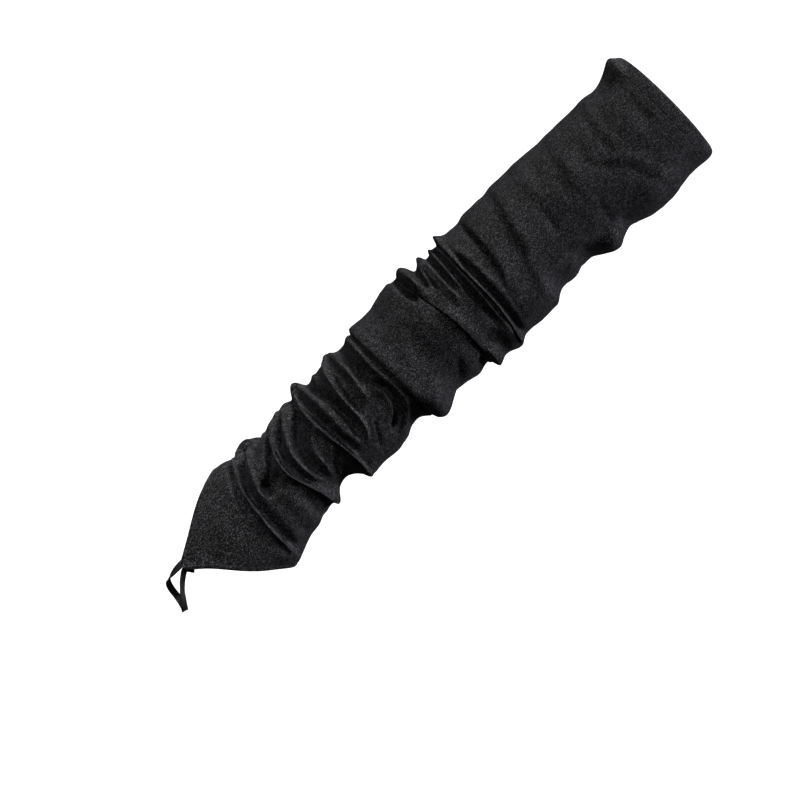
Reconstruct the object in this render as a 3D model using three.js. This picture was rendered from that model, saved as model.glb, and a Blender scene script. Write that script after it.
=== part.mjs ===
// A long fingerless evening mitten of black stretch satin, as it sits on an arm: a ruched cloth
// sleeve, the turned hem of its arm opening, the narrow rolled hem of its pointed hand opening,
// and the ribbon loop for the middle finger. Millimetres. The arm runs along Z with the hand
// down, the back of the hand faces -Y, and the thumb is at -X. The origin is the centre of the
// arm opening.

import * as THREE from "three";

// Driving dimensions
const SLEEVE_LENGTH = 420; // from the arm opening to the point over the knuckles
const ARM_WIDTH = 84; // across the worn sleeve at the arm opening
const ARM_DEPTH = 80; // front to back there
const WALL = 1.2; // thickness of the sleeve's cloth
const ARM_HEM = 9; // height of the hem at the arm opening
const ARM_HEM_THICK = 2.4; // two layers of cloth
const HAND_HEM = 3.2; // width of the rolled hem at the hand opening
const HAND_HEM_THICK = 2.2;
const POINT_DEPTH = 54; // from the sides of the hand opening down to the point
const PALM_RISE = 9; // the palm's edge curves up this far
const POINT_OFFSET = -6.6; // the point sits off the sleeve's axis, towards the thumb
const POINT_STRAIGHT = 0.8; // share of the point's depth that its straight sides make up
const POINT_BOW = 6; // how late the rest of the depth comes, as an exponent
const FOLD_RISE = 6; // a tall fold stands this far off the sleeve
const FOLD_SPREAD = 10; // and falls away over about this distance
const SEAM_GAP = 0.3; // clearance between sewn pieces

// The ribbon loop
const RIBBON_WIDTH = 4.4;
const RIBBON_THICK = 1;
const FINGER_WIDTH = 20; // the finger that the loop goes round, with the ribbon's thickness
const LOOP_REACH = 19; // from the point down to the loop's far side
const RIBBON_TUCK = 7; // length of each ribbon end that is sewn behind the point

// Fineness of the facets. Rows of facets run down to each guide in turn, in even steps, and then
// to the hand's edge. A guide is level at a share of the length, or follows a fold's line, moved
// by a shift towards the hand.
const COLUMNS = 32;
const GUIDES = [
  { at: 0.25, rows: 10 },
  { follows: "slant_lower", rows: 7 },
  { follows: "elbow_ridge", rows: 6 },
  { follows: "elbow_lip", rows: 9 },
  { follows: "elbow_lip", shift: 0.02, rows: 3 },
  { follows: "cuff_lip", shift: -0.02, rows: 4 },
  { follows: "cuff_lip", rows: 3 },
  { follows: "hook_lip", rows: 16 },
  { follows: "wrist_lip", rows: 9 },
  { follows: "hand_lip", rows: 9 },
];
const PANEL_ROWS = 7;
const PANEL_LEAST = 7; // the last rows get at least this much of the length
const PATH_STEPS = 6; // straight steps between two points of a fold's line
const FOLD_FADE = 0.22; // share of a fold's line over which each end dies away
const FADED = 3; // a fold does nothing past this many times its spread
const RIBBON_STEPS = 44;

const HALF_WIDTH = ARM_WIDTH / 2;
const QUARTER_GIRTH = (Math.PI * (ARM_WIDTH + ARM_DEPTH)) / 8;
const FULL_TURN = 4; // in quarter turns, which all turns here are counted in

// The worn outline. "at" is a share of SLEEVE_LENGTH, "left" and "right" are shares of half the
// arm's width, "deep" is a share of ARM_DEPTH, "set" moves the section back by a share of
// ARM_DEPTH, and "full" is the exponent of the section, 2 for an ellipse.
const SECTIONS = [
  { at: 0, left: 0.97, right: 0.99, deep: 1, set: 0, full: 2.05 },
  { at: 0.048, left: 0.92, right: 0.99, deep: 1, set: 0, full: 2.05 },
  { at: 0.107, left: 0.92, right: 0.99, deep: 0.99, set: 0, full: 2.05 },
  { at: 0.167, left: 0.93, right: 0.93, deep: 0.98, set: 0, full: 2.05 },
  { at: 0.227, left: 0.95, right: 0.87, deep: 0.97, set: 0, full: 2.05 },
  { at: 0.287, left: 0.95, right: 0.87, deep: 0.96, set: 0, full: 2.05 },
  { at: 0.361, left: 0.92, right: 0.92, deep: 0.96, set: 0, full: 2.05 },
  { at: 0.421, left: 0.9, right: 0.94, deep: 0.97, set: 0.01, full: 2.05 },
  { at: 0.481, left: 0.96, right: 0.9, deep: 0.95, set: 0.01, full: 2.1 },
  { at: 0.518, left: 0.95, right: 0.84, deep: 0.92, set: 0.01, full: 2.1 },
  { at: 0.567, left: 0.9, right: 0.9, deep: 0.9, set: 0.01, full: 2.1 },
  { at: 0.597, left: 0.84, right: 0.75, deep: 0.84, set: 0.01, full: 2.1 },
  { at: 0.66, left: 0.81, right: 0.86, deep: 0.8, set: 0.01, full: 2.1 },
  { at: 0.713, left: 0.81, right: 0.77, deep: 0.74, set: 0.01, full: 2.15 },
  { at: 0.742, left: 0.8, right: 0.64, deep: 0.7, set: 0, full: 2.15 },
  { at: 0.779, left: 0.75, right: 0.75, deep: 0.67, set: 0, full: 2.2 },
  { at: 0.831, left: 0.8, right: 0.86, deep: 0.63, set: -0.01, full: 2.3 },
  { at: 0.869, left: 0.86, right: 0.96, deep: 0.6, set: -0.01, full: 2.4 },
  { at: 0.934, left: 0.84, right: 0.98, deep: 0.54, set: -0.01, full: 2.4 },
  { at: 1, left: 0.78, right: 0.93, deep: 0.46, set: -0.02, full: 2.4 },
];

// The folds. A path runs from left to right in points of [across, at]: across is a share of half
// the arm's width from the axis, at a share of SLEEVE_LENGTH. "rise" is a share of FOLD_RISE,
// below zero for a hollow. "above" and "below" are shares of FOLD_SPREAD, towards the arm and
// the hand. "hang" drags the fold over what lies below it, as a share of FOLD_RISE. "goesLeft"
// and "goesRight" carry a path on round that side, in quarter turns. "back" rows lie on the
// palm's side, where their paths run as seen from the front.
const FOLDS = [
  { name: "rim_flare", rise: 0.85, above: 0.8, below: 1.4, goesLeft: 0.5,
    path: [[-0.95, 0.012], [-0.7, 0.016]] },
  { name: "upper_swell", rise: 0.6, above: 2, below: 2, goesRight: 0.7,
    path: [[0.5, 0.1], [0.95, 0.103]] },
  { name: "pouch", rise: 1.1, above: 1, below: 1, goesRight: 0.8,
    path: [[0.5, 0.192], [0.93, 0.204]] },
  { name: "pouch_foot", rise: 0.35, above: 0.8, below: 0.6, goesRight: 0.5,
    path: [[0.6, 0.27], [0.87, 0.272]] },
  { name: "upper_arm_swell", rise: 0.65, above: 1.3, below: 1.5, goesRight: 0.8,
    path: [[0.5, 0.33], [0.88, 0.336]] },
  { name: "slant_upper", rise: 0.3, above: 1.2, below: 0.7, goesLeft: 0.3,
    path: [[-0.93, 0.268], [-0.3, 0.286], [0.1, 0.3], [0.6, 0.316]] },
  { name: "slant_upper_dip", rise: -0.25, above: 0.6, below: 0.9,
    path: [[-0.9, 0.283], [-0.3, 0.301], [0.1, 0.314]] },
  { name: "slant_lower", rise: 0.3, above: 1.1, below: 0.6, goesLeft: 0.3,
    path: [[-0.9, 0.326], [0, 0.34], [0.6, 0.357]] },
  { name: "slant_lower_dip", rise: -0.35, above: 0.5, below: 0.8,
    path: [[-0.9, 0.34], [-0.1, 0.346], [0.3, 0.356]] },
  { name: "elbow_hollow", rise: -0.6, above: 0.6, below: 0.4,
    path: [[-0.6, 0.376], [0.1, 0.373], [0.85, 0.388]] },
  { name: "elbow_ridge", rise: 0.7, above: 0.45, below: 0.4, goesLeft: 0.8, goesRight: 0.6,
    path: [[-0.92, 0.386], [0.1, 0.388], [0.6, 0.394], [0.88, 0.403]] },
  { name: "elbow_hollow_lower", rise: -0.6, above: 0.4, below: 0.5,
    path: [[-0.85, 0.4], [0, 0.403], [0.78, 0.405]] },
  { name: "elbow_notch", rise: -0.4, above: 0.4, below: 0.4, goesLeft: 0.3,
    path: [[-0.88, 0.411], [-0.2, 0.416]] },
  { name: "elbow_roll", rise: 0.4, above: 0.8, below: 1, goesRight: 0.8,
    path: [[-0.8, 0.424], [0.3, 0.426], [0.93, 0.43]] },
  { name: "elbow_side_ridge", rise: 0.45, above: 0.4, below: 0.4, goesLeft: 0.5,
    path: [[-0.95, 0.428], [-0.6, 0.433]] },
  { name: "elbow_side_notch", rise: -0.45, above: 0.4, below: 0.4, goesLeft: 0.3,
    path: [[-0.93, 0.441], [-0.6, 0.443]] },
  { name: "elbow_lip", rise: 0.6, above: 0.7, below: 0.33, hang: 0.2, goesLeft: 0.8, goesRight: 0.8,
    path: [[-0.95, 0.459], [-0.6, 0.457], [-0.2, 0.45], [0.2, 0.446], [0.92, 0.447]] },
  { name: "elbow_lip_end", rise: 0.5, above: 0.45, below: 0.5, goesLeft: 0.5,
    path: [[-0.94, 0.458], [-0.7, 0.456]] },
  { name: "cuff_left", rise: 0.35, above: 0.5, below: 1.2, goesLeft: 0.6,
    path: [[-0.95, 0.487], [-0.6, 0.489]] },
  { name: "cuff_right_upper", rise: 0.3, above: 0.8, below: 1.1, goesRight: 0.7,
    path: [[0.6, 0.474], [0.88, 0.474]] },
  { name: "cuff_right_lower", rise: 0.4, above: 1.2, below: 0.6, goesRight: 0.8,
    path: [[0.45, 0.556], [0.88, 0.552]] },
  { name: "cuff_lip", rise: 0.55, above: 1, below: 0.4, hang: 0.2, goesLeft: 0.8, goesRight: 0.8,
    path: [[-0.9, 0.569], [0, 0.571], [0.88, 0.566]] },
  { name: "arch_hollow", rise: -0.6, above: 0.5, below: 0.6,
    path: [[-0.8, 0.6], [-0.3, 0.599], [0.1, 0.591], [0.4, 0.597], [0.6, 0.609]] },
  { name: "inner_arch", rise: 0.45, above: 0.4, below: 0.4, goesLeft: 0.3,
    path: [[-0.82, 0.616], [-0.3, 0.614], [0, 0.609], [0.22, 0.608], [0.45, 0.616], [0.6, 0.626]] },
  { name: "hairpin", rise: 0.6, above: 0.4, below: 0.4, goesLeft: 0.5,
    path: [[-0.84, 0.63], [-0.5, 0.646], [0.1, 0.65], [0.45, 0.657], [0.62, 0.668]] },
  { name: "deep_hollow", rise: -0.7, above: 0.45, below: 0.5, goesLeft: 0.3,
    path: [[-0.78, 0.664], [0, 0.663], [0.42, 0.674]] },
  { name: "soft_roll", rise: 0.3, above: 0.5, below: 0.5,
    path: [[-0.7, 0.681], [0, 0.676], [0.5, 0.679]] },
  { name: "under_roll", rise: -0.5, above: 0.4, below: 0.4,
    path: [[-0.78, 0.688], [0, 0.692], [0.52, 0.689]] },
  { name: "hook_lip", rise: 0.8, above: 0.45, below: 0.4, hang: 0.2, goesLeft: 0.7, goesRight: 0.6,
    path: [[-0.85, 0.696], [-0.45, 0.706], [0.2, 0.704], [0.74, 0.702]] },
  { name: "hook_bulge", rise: 0.45, above: 0.7, below: 0.6, goesLeft: 0.5,
    path: [[-0.93, 0.693], [-0.75, 0.695]] },
  { name: "long_hollow", rise: -0.5, above: 0.55, below: 0.5,
    path: [[-0.7, 0.716], [-0.2, 0.736], [0.2, 0.746], [0.4, 0.746]] },
  { name: "wrist_ridge", rise: 0.55, above: 0.4, below: 0.4, goesLeft: 0.6,
    path: [[-0.8, 0.727], [-0.5, 0.745], [-0.1, 0.762], [0.35, 0.758]] },
  { name: "wrist_hollow", rise: -0.4, above: 0.4, below: 0.4,
    path: [[-0.72, 0.738], [-0.5, 0.76], [-0.2, 0.776], [0.1, 0.777], [0.4, 0.769]] },
  { name: "wrist_lip", rise: 0.75, above: 0.4, below: 0.4, hang: 0.15, goesLeft: 0.3, goesRight: 0.8,
    path: [[-0.78, 0.752], [-0.45, 0.78], [-0.05, 0.79], [0.4, 0.778], [0.74, 0.766]] },
  { name: "pocket_left", rise: -0.5, above: 0.5, below: 0.5,
    path: [[-0.5, 0.786], [-0.3, 0.801], [-0.12, 0.82]] },
  { name: "pocket_right", rise: -0.45, above: 0.5, below: 0.5,
    path: [[-0.12, 0.82], [0.07, 0.803], [0.35, 0.79]] },
  { name: "heel_swell", rise: 0.35, above: 0.7, below: 0.9, goesRight: 0.6,
    path: [[0.2, 0.8], [0.8, 0.815]] },
  { name: "thumb_roll", rise: 0.5, above: 0.4, below: 0.4, goesLeft: 0.7,
    path: [[-0.8, 0.803], [-0.5, 0.824], [-0.1, 0.836]] },
  { name: "hand_hollow", rise: -0.6, above: 0.4, below: 0.4,
    path: [[-0.76, 0.812], [-0.45, 0.837], [0.1, 0.848], [0.78, 0.85]] },
  { name: "hand_lip", rise: 0.65, above: 0.4, below: 0.45, hang: 0.1, goesLeft: 0.3,
    path: [[-0.8, 0.824], [-0.5, 0.853], [0, 0.865], [0.66, 0.866]] },
  { name: "back_armpit", back: true, rise: 0.5, above: 1.4, below: 1.2,
    path: [[-0.9, 0.15], [0, 0.135], [0.9, 0.16]] },
  { name: "back_upper", back: true, rise: 0.5, above: 1.2, below: 0.8,
    path: [[-0.9, 0.26], [0, 0.245], [0.9, 0.265]] },
  { name: "inner_elbow_a", back: true, rise: 0.6, above: 0.6, below: 0.5,
    path: [[-0.85, 0.35], [0, 0.362], [0.85, 0.35]] },
  { name: "inner_elbow_b", back: true, rise: -0.5, above: 0.5, below: 0.5,
    path: [[-0.8, 0.376], [0, 0.386], [0.8, 0.38]] },
  { name: "inner_elbow_c", back: true, rise: 0.7, above: 0.5, below: 0.4,
    path: [[-0.85, 0.4], [0, 0.408], [0.85, 0.405]] },
  { name: "inner_elbow_d", back: true, rise: -0.5, above: 0.4, below: 0.5,
    path: [[-0.8, 0.424], [0.1, 0.43], [0.8, 0.424]] },
  { name: "under_cuff", back: true, rise: 0.5, above: 1, below: 0.8,
    path: [[-0.85, 0.52], [0, 0.51], [0.85, 0.525]] },
  { name: "under_fold_a", back: true, rise: 0.65, above: 0.5, below: 0.4,
    path: [[-0.75, 0.615], [0, 0.605], [0.7, 0.62]] },
  { name: "under_fold_b", back: true, rise: -0.5, above: 0.4, below: 0.4,
    path: [[-0.7, 0.64], [0, 0.632], [0.7, 0.645]] },
  { name: "under_fold_c", back: true, rise: 0.7, above: 0.5, below: 0.4,
    path: [[-0.7, 0.664], [0, 0.655], [0.75, 0.668]] },
  { name: "under_fold_d", back: true, rise: 0.65, above: 0.5, below: 0.4,
    path: [[-0.7, 0.73], [0, 0.72], [0.6, 0.738]] },
  { name: "under_wrist", back: true, rise: 0.65, above: 0.5, below: 0.4,
    path: [[-0.7, 0.782], [0, 0.772], [0.7, 0.785]] },
];

// The ribbon's line round the finger. "across" is a share of FINGER_WIDTH from the finger's
// middle, "deep" a share of it back from the cloth's inner face at the point, "drop" a share of
// LOOP_REACH below the point, and "roll" turns the ribbon about its own line, in degrees.
const RIBBON = [
  { across: -0.56, deep: 0.07, drop: 0, roll: 0 },
  { across: -0.55, deep: 0.18, drop: 0.34, roll: 0 },
  { across: -0.5, deep: 0.5, drop: 0.68, roll: 0 },
  { across: -0.3, deep: 0.88, drop: 0.84, roll: 0 },
  { across: 0.04, deep: 1.02, drop: 0.9, roll: 0 },
  { across: 0.36, deep: 0.86, drop: 0.96, roll: 0 },
  { across: 0.53, deep: 0.52, drop: 1, roll: 0 },
  { across: 0.47, deep: 0.24, drop: 0.94, roll: 8 },
  { across: 0.27, deep: 0.07, drop: 0.76, roll: 20 },
  { across: 0, deep: 0.03, drop: 0.47, roll: 20 },
  { across: -0.22, deep: 0.07, drop: 0.18, roll: 6 },
  { across: -0.31, deep: 0.09, drop: 0, roll: 0 },
];
const FINGER_OFFSET = 3.8; // the finger's middle lies off the sleeve's axis

const clamp01 = (t) => Math.min(Math.max(t, 0), 1);
const smooth = (t) => t * t * (3 - 2 * t);

// Reads a column of a table at a place between two rows, on a smooth curve through the rows.
function between(rows, column, at) {
  const last = rows.length - 1;
  let i = 0;
  while (i < last - 1 && at > rows[i + 1].at) i += 1;
  const [start, end] = [rows[i], rows[i + 1]];
  const before = rows[Math.max(i - 1, 0)];
  const after = rows[Math.min(i + 2, last)];
  const step = end.at - start.at;
  const t = clamp01((at - start.at) / step);
  const slope = (a, b) => ((b[column] - a[column]) / (b.at - a.at)) * step;
  const [low, high] = [slope(before, end), slope(start, after)];
  const [t2, t3] = [t * t, t * t * t];
  return (
    (2 * t3 - 3 * t2 + 1) * start[column] +
    (t3 - 2 * t2 + t) * low +
    (3 * t2 - 2 * t3) * end[column] +
    (t3 - t2) * high
  );
}

// The worn section at a share of the length, in millimetres.
function sectionAt(at) {
  const left = between(SECTIONS, "left", at) * HALF_WIDTH;
  const right = between(SECTIONS, "right", at) * HALF_WIDTH;
  return {
    middle: (right - left) / 2,
    half: (right + left) / 2,
    halfDepth: (between(SECTIONS, "deep", at) * ARM_DEPTH) / 2,
    set: between(SECTIONS, "set", at) * ARM_DEPTH,
    power: 2 / between(SECTIONS, "full", at),
  };
}

// Sine and cosine bent to the section's fullness.
const bend = (value, power) => Math.sign(value) * Math.abs(value) ** power;

// The point of the plain section at a quarter turn count: 0 front, 1 right, 2 back, -1 left.
function plainPoint(at, turn) {
  const s = sectionAt(at);
  const angle = (turn * Math.PI) / 2;
  return new THREE.Vector3(
    s.middle + s.half * bend(Math.sin(angle), s.power),
    s.set - s.halfDepth * bend(Math.cos(angle), s.power),
    -at * SLEEVE_LENGTH,
  );
}

// The quarter turns at which the front or back of the section has that across value.
function turnOf(across, at, back) {
  const s = sectionAt(at);
  const share = Math.min(Math.max((across * HALF_WIDTH - s.middle) / s.half, -1), 1);
  const turn = (Math.asin(bend(share, 1 / s.power)) * 2) / Math.PI;
  return back ? 2 - turn : turn;
}

// A fold's line in the unrolled cloth, as straight steps.
function lineOf(fold) {
  const rows = fold.path.map(([across, at]) => [turnOf(across, at, fold.back), at]);
  if (fold.back) rows.reverse();
  const [first, last] = [rows[0], rows.at(-1)];
  if (fold.goesLeft) rows.unshift([first[0] - fold.goesLeft, first[1]]);
  if (fold.goesRight) rows.push([last[0] + fold.goesRight, last[1]]);
  const points = rows.map(
    ([turn, at]) => new THREE.Vector3(turn * QUARTER_GIRTH, at * SLEEVE_LENGTH, 0),
  );
  const curve = new THREE.CatmullRomCurve3(points, false, "centripetal");
  return curve.getPoints(PATH_STEPS * (points.length - 1));
}

// Each fold with its line, and the stretch of the sleeve beyond which it does nothing.
const LINES = FOLDS.map((fold) => {
  const line = lineOf(fold);
  const far = FADED * FOLD_SPREAD;
  const from = Math.min(...line.map((p) => p.y)) - far * fold.above;
  const upTo = Math.max(...line.map((p) => p.y)) + far * fold.below;
  return { fold, line, from, upTo };
});

// How far along a fold's line and how far off it a place in the unrolled cloth lies. "off" is
// above zero on the hand's side.
function nearest(line, x, s) {
  let [size, off, along] = [Infinity, 0, 0];
  for (let i = 0; i + 1 < line.length; i += 1) {
    const dx = line[i + 1].x - line[i].x;
    const ds = line[i + 1].y - line[i].y;
    const px = x - line[i].x;
    const ps = s - line[i].y;
    const t = clamp01((px * dx + ps * ds) / (dx * dx + ds * ds));
    const away = Math.hypot(px - t * dx, ps - t * ds);
    if (away < size) {
      size = away;
      off = Math.sign(dx * ps - ds * px) * away;
      along = (i + t) / (line.length - 1);
    }
  }
  return { size, off, along };
}

// What all folds do at a place: how far they lift the cloth, and how far they drag it down.
function foldsAt(at, turn) {
  let [lift, drag] = [0, 0];
  const s = at * SLEEVE_LENGTH;
  for (const { fold, line, from, upTo } of LINES) {
    if (s < from || s > upTo) continue;
    const choices = [-FULL_TURN, 0, FULL_TURN].map((whole) =>
      nearest(line, (turn + whole) * QUARTER_GIRTH, s),
    );
    const place = choices.reduce((a, b) => (b.size < a.size ? b : a));
    const weight = smooth(clamp01(Math.min(place.along, 1 - place.along) / FOLD_FADE));
    const spread = (place.off < 0 ? fold.above : fold.below) * FOLD_SPREAD;
    lift += fold.rise * weight * Math.exp(-((place.off / spread) ** 2));
    if (fold.hang) {
      const q = place.off / (fold.below * FOLD_SPREAD);
      drag -= fold.hang * weight * q * Math.exp((1 - q * q) / 2);
    }
  }
  return { lift: lift * FOLD_RISE, drag: drag * FOLD_RISE };
}

// The sleeve's outer face.
function clothPoint(at, turn) {
  const { lift, drag } = foldsAt(at, turn);
  const place = clamp01(at + drag / SLEEVE_LENGTH);
  const reach = 0.01;
  const point = plainPoint(place, turn);
  const side = plainPoint(place, turn + reach).sub(plainPoint(place, turn - reach));
  const out = new THREE.Vector3(side.y, -side.x, 0).normalize();
  return point.addScaledVector(out, lift);
}

// The turn of the point, where the columns start.
const POINT_TURN = turnOf(POINT_OFFSET / HALF_WIDTH, 1, false);

// Where the hand opening's edge lies at a turn: two nearly straight sides that meet in a point on
// the back of the hand, and a shallow arch across the palm.
function edgeAt(turn) {
  const sides = 1 - POINT_DEPTH / SLEEVE_LENGTH;
  const cosine = Math.cos((turn * Math.PI) / 2);
  if (cosine <= 0) return sides - (PALM_RISE * cosine ** 2) / SLEEVE_LENGTH;
  const across = plainPoint(1, turn).x - POINT_OFFSET;
  const side = plainPoint(1, across < 0 ? -1 : 1).x - POINT_OFFSET;
  const share = clamp01(across / side);
  const depth = POINT_STRAIGHT * share + (1 - POINT_STRAIGHT) * share ** POINT_BOW;
  return 1 - (POINT_DEPTH * depth) / SLEEVE_LENGTH;
}

// How much longer a band of even width is along the sleeve where its edge slants.
function slantAt(turn) {
  const step = FULL_TURN / COLUMNS / 2;
  const away = (sign) => {
    const rise = (edgeAt(turn + sign * step) - edgeAt(turn)) * SLEEVE_LENGTH;
    const run = plainPoint(edgeAt(turn), turn + sign * step).distanceTo(plainPoint(edgeAt(turn), turn));
    return Math.hypot(rise, run) / run;
  };
  return (away(-1) + away(1)) / 2;
}

const hemTopAt = (turn) => edgeAt(turn) - (HAND_HEM * slantAt(turn)) / SLEEVE_LENGTH;
const gapAt = (turn) => (SEAM_GAP * slantAt(turn)) / SLEEVE_LENGTH;

// The cloth's outward direction at each point of a grid of rows and columns. It is level at the
// first and last rows, so that sewn pieces meet squarely.
function outward(grid) {
  const last = grid.length - 1;
  return grid.map((row, i) => {
    const [above, below] = [grid[Math.max(i - 1, 0)], grid[Math.min(i + 1, last)]];
    return row.map((_, k) => {
      const side = row[(k + 1) % COLUMNS].clone().sub(row[(k + COLUMNS - 1) % COLUMNS]);
      const out = below[k].clone().sub(above[k]).cross(side);
      if (i === 0 || i === last) out.setZ(0);
      return out.normalize();
    });
  });
}

// A closed band of cloth: an outer and an inner face through the rows, joined at both ends.
// Each row is a function that gives a share of the length at a turn.
function band(rows, thick) {
  const turns = Array.from({ length: COLUMNS }, (_, k) => POINT_TURN + (FULL_TURN * k) / COLUMNS);
  const outer = rows.map((row) => turns.map((turn) => clothPoint(row(turn), turn)));
  const out = outward(outer);
  const inner = outer.map((row, i) => row.map((p, k) => p.clone().addScaledVector(out[i][k], -thick)));
  const loop = [...outer, ...inner.reverse()];
  const vertices = loop.flat().flatMap((p) => p.toArray());
  const index = [];
  loop.forEach((_, row) => {
    const next = (row + 1) % loop.length;
    for (let k = 0; k < COLUMNS; k += 1) {
      const beside = (k + 1) % COLUMNS;
      const [a, b] = [row * COLUMNS + k, row * COLUMNS + beside];
      const [c, d] = [next * COLUMNS + k, next * COLUMNS + beside];
      index.push(a, c, b, b, c, d);
    }
  });
  return solid(vertices, index);
}

function solid(vertices, index) {
  const geometry = new THREE.BufferGeometry();
  geometry.setAttribute("position", new THREE.Float32BufferAttribute(vertices, 3));
  geometry.setIndex(index);
  geometry.computeVertexNormals();
  return geometry;
}

// The share of the length at which a guide crosses a turn. A fold's line runs on evenly round the
// back from its right end to its left end.
function guideAt({ at, follows, shift = 0 }) {
  if (at) return () => at;
  const { line } = LINES.find(({ fold }) => fold.name === follows);
  const first = line[0];
  const girth = FULL_TURN * QUARTER_GIRTH;
  const round = [...line, new THREE.Vector3(first.x + girth, first.y, 0)];
  return (turn) => {
    const x = first.x + THREE.MathUtils.euclideanModulo(turn * QUARTER_GIRTH - first.x, girth);
    const i = Math.max(round.findIndex((p) => p.x >= x), 1);
    const [start, end] = [round[i - 1], round[i]];
    const s = start.y + ((end.y - start.y) * (x - start.x)) / (end.x - start.x);
    return Math.min(s / SLEEVE_LENGTH + shift, hemTopAt(turn) - PANEL_LEAST / SLEEVE_LENGTH);
  };
}

// The sleeve's rows, from the arm hem to the hand hem.
function sleeveRows() {
  const top = (ARM_HEM + SEAM_GAP) / SLEEVE_LENGTH;
  const edge = (turn) => hemTopAt(turn) - gapAt(turn);
  const guides = GUIDES.map((guide) => ({ place: guideAt(guide), rows: guide.rows }));
  guides.push({ place: edge, rows: PANEL_ROWS });
  const rows = [() => top];
  let from = rows[0];
  for (const { place, rows: count } of guides) {
    const start = from;
    for (let i = 1; i <= count; i += 1) {
      rows.push((turn) => start(turn) + ((place(turn) - start(turn)) * i) / count);
    }
    from = place;
  }
  return rows;
}

function armHemRows() {
  const middle = ARM_HEM / 2 / SLEEVE_LENGTH;
  return [() => 0, () => middle, () => 2 * middle];
}

const handHemRows = () => [hemTopAt, edgeAt];

// The ribbon's middle line, its flat direction and its thin direction, from point to point.
function ribbonStations() {
  const front = clothPoint(1, POINT_TURN).y + HAND_HEM_THICK + SEAM_GAP + RIBBON_THICK / 2;
  const places = RIBBON.map(
    ({ across, deep, drop }) =>
      new THREE.Vector3(
        FINGER_OFFSET + across * FINGER_WIDTH,
        front + deep * FINGER_WIDTH,
        -SLEEVE_LENGTH - drop * LOOP_REACH,
      ),
  );
  const tuck = (end) => end.clone().setZ(end.z + RIBBON_TUCK);
  const points = [tuck(places[0]), ...places, tuck(places.at(-1))];
  const rolls = [0, ...RIBBON.map(({ roll }) => roll), 0];
  const curve = new THREE.CatmullRomCurve3(points, false, "centripetal");
  const centre = new THREE.Vector3(FINGER_OFFSET, front + FINGER_WIDTH / 2, 0);
  return Array.from({ length: RIBBON_STEPS + 1 }, (_, i) => {
    const t = i / RIBBON_STEPS;
    const place = curve.getPoint(t);
    const tangent = curve.getTangent(t);
    const out = place.clone().sub(centre).setZ(0).normalize();
    const k = t * (rolls.length - 1);
    const low = Math.min(Math.floor(k), rolls.length - 2);
    const roll = THREE.MathUtils.degToRad(rolls[low] + (rolls[low + 1] - rolls[low]) * (k - low));
    const flat = new THREE.Vector3().crossVectors(tangent, out).normalize();
    flat.applyAxisAngle(tangent, roll);
    const thin = new THREE.Vector3().crossVectors(flat, tangent).normalize();
    return { place, flat, thin };
  });
}

// The ribbon as a swept rectangle with two closed ends.
function ribbon() {
  const corners = [[-0.5, -0.5], [0.5, -0.5], [0.5, 0.5], [-0.5, 0.5]];
  const stations = ribbonStations();
  const vertices = stations.flatMap(({ place, flat, thin }) =>
    corners.flatMap(([across, through]) => {
      const p = place.clone().addScaledVector(flat, across * RIBBON_WIDTH);
      p.addScaledVector(thin, through * RIBBON_THICK);
      return [p.x, p.y, p.z];
    }),
  );
  const index = [];
  const sides = corners.length;
  for (let i = 0; i + 1 < stations.length; i += 1) {
    for (let k = 0; k < sides; k += 1) {
      const [a, b] = [i * sides + k, i * sides + ((k + 1) % sides)];
      index.push(a, a + sides, b, b, a + sides, b + sides);
    }
  }
  const end = (stations.length - 1) * sides;
  index.push(0, 1, 2, 0, 2, 3, end, end + 2, end + 1, end, end + 3, end + 2);
  return solid(vertices, index);
}

const SATIN = new THREE.MeshStandardMaterial({ color: 0x17171a, roughness: 0.5, metalness: 0 });
const HEM_SATIN = new THREE.MeshStandardMaterial({ color: 0x101012, roughness: 0.6, metalness: 0 });
const RIBBON_BLACK = new THREE.MeshStandardMaterial({ color: 0x1c1b1a, roughness: 0.7, metalness: 0 });

function piece(name, geometry, material) {
  const mesh = new THREE.Mesh(geometry, material);
  mesh.name = name;
  return mesh;
}

const mitten = new THREE.Group();
mitten.add(piece("sleeve", band(sleeveRows(), WALL), SATIN));
mitten.add(piece("arm_hem", band(armHemRows(), ARM_HEM_THICK), HEM_SATIN));
mitten.add(piece("hand_hem", band(handHemRows(), HAND_HEM_THICK), HEM_SATIN));
mitten.add(piece("finger_loop", ribbon(), RIBBON_BLACK));

export default mitten;
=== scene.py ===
# The looks of a long fingerless evening mitten of black stretch satin: the ruched sleeve with all
# its folds, the turned hem at the arm, the rolled and stitched hem at the hand, and the ribbon
# loop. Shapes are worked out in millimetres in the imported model's frame, and go into the meshes
# in metres. A turn of 1 is a quarter of the way round: 0 is the front, 1 the right, 2 the back.

import math

import bpy
import numpy as np
from mathutils import Matrix, Vector, noise


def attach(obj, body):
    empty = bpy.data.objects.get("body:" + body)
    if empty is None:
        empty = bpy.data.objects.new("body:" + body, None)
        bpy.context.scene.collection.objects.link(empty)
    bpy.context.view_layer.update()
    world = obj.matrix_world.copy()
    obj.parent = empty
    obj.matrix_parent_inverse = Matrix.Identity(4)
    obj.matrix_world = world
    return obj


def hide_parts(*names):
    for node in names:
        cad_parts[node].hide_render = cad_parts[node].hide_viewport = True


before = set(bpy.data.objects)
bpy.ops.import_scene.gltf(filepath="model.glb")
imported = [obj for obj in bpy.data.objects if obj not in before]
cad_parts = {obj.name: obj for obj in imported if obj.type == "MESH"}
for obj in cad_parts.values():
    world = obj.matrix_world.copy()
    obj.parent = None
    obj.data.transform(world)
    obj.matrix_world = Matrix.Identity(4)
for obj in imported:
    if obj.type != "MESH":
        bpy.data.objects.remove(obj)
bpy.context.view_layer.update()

MM = 0.001

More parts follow.
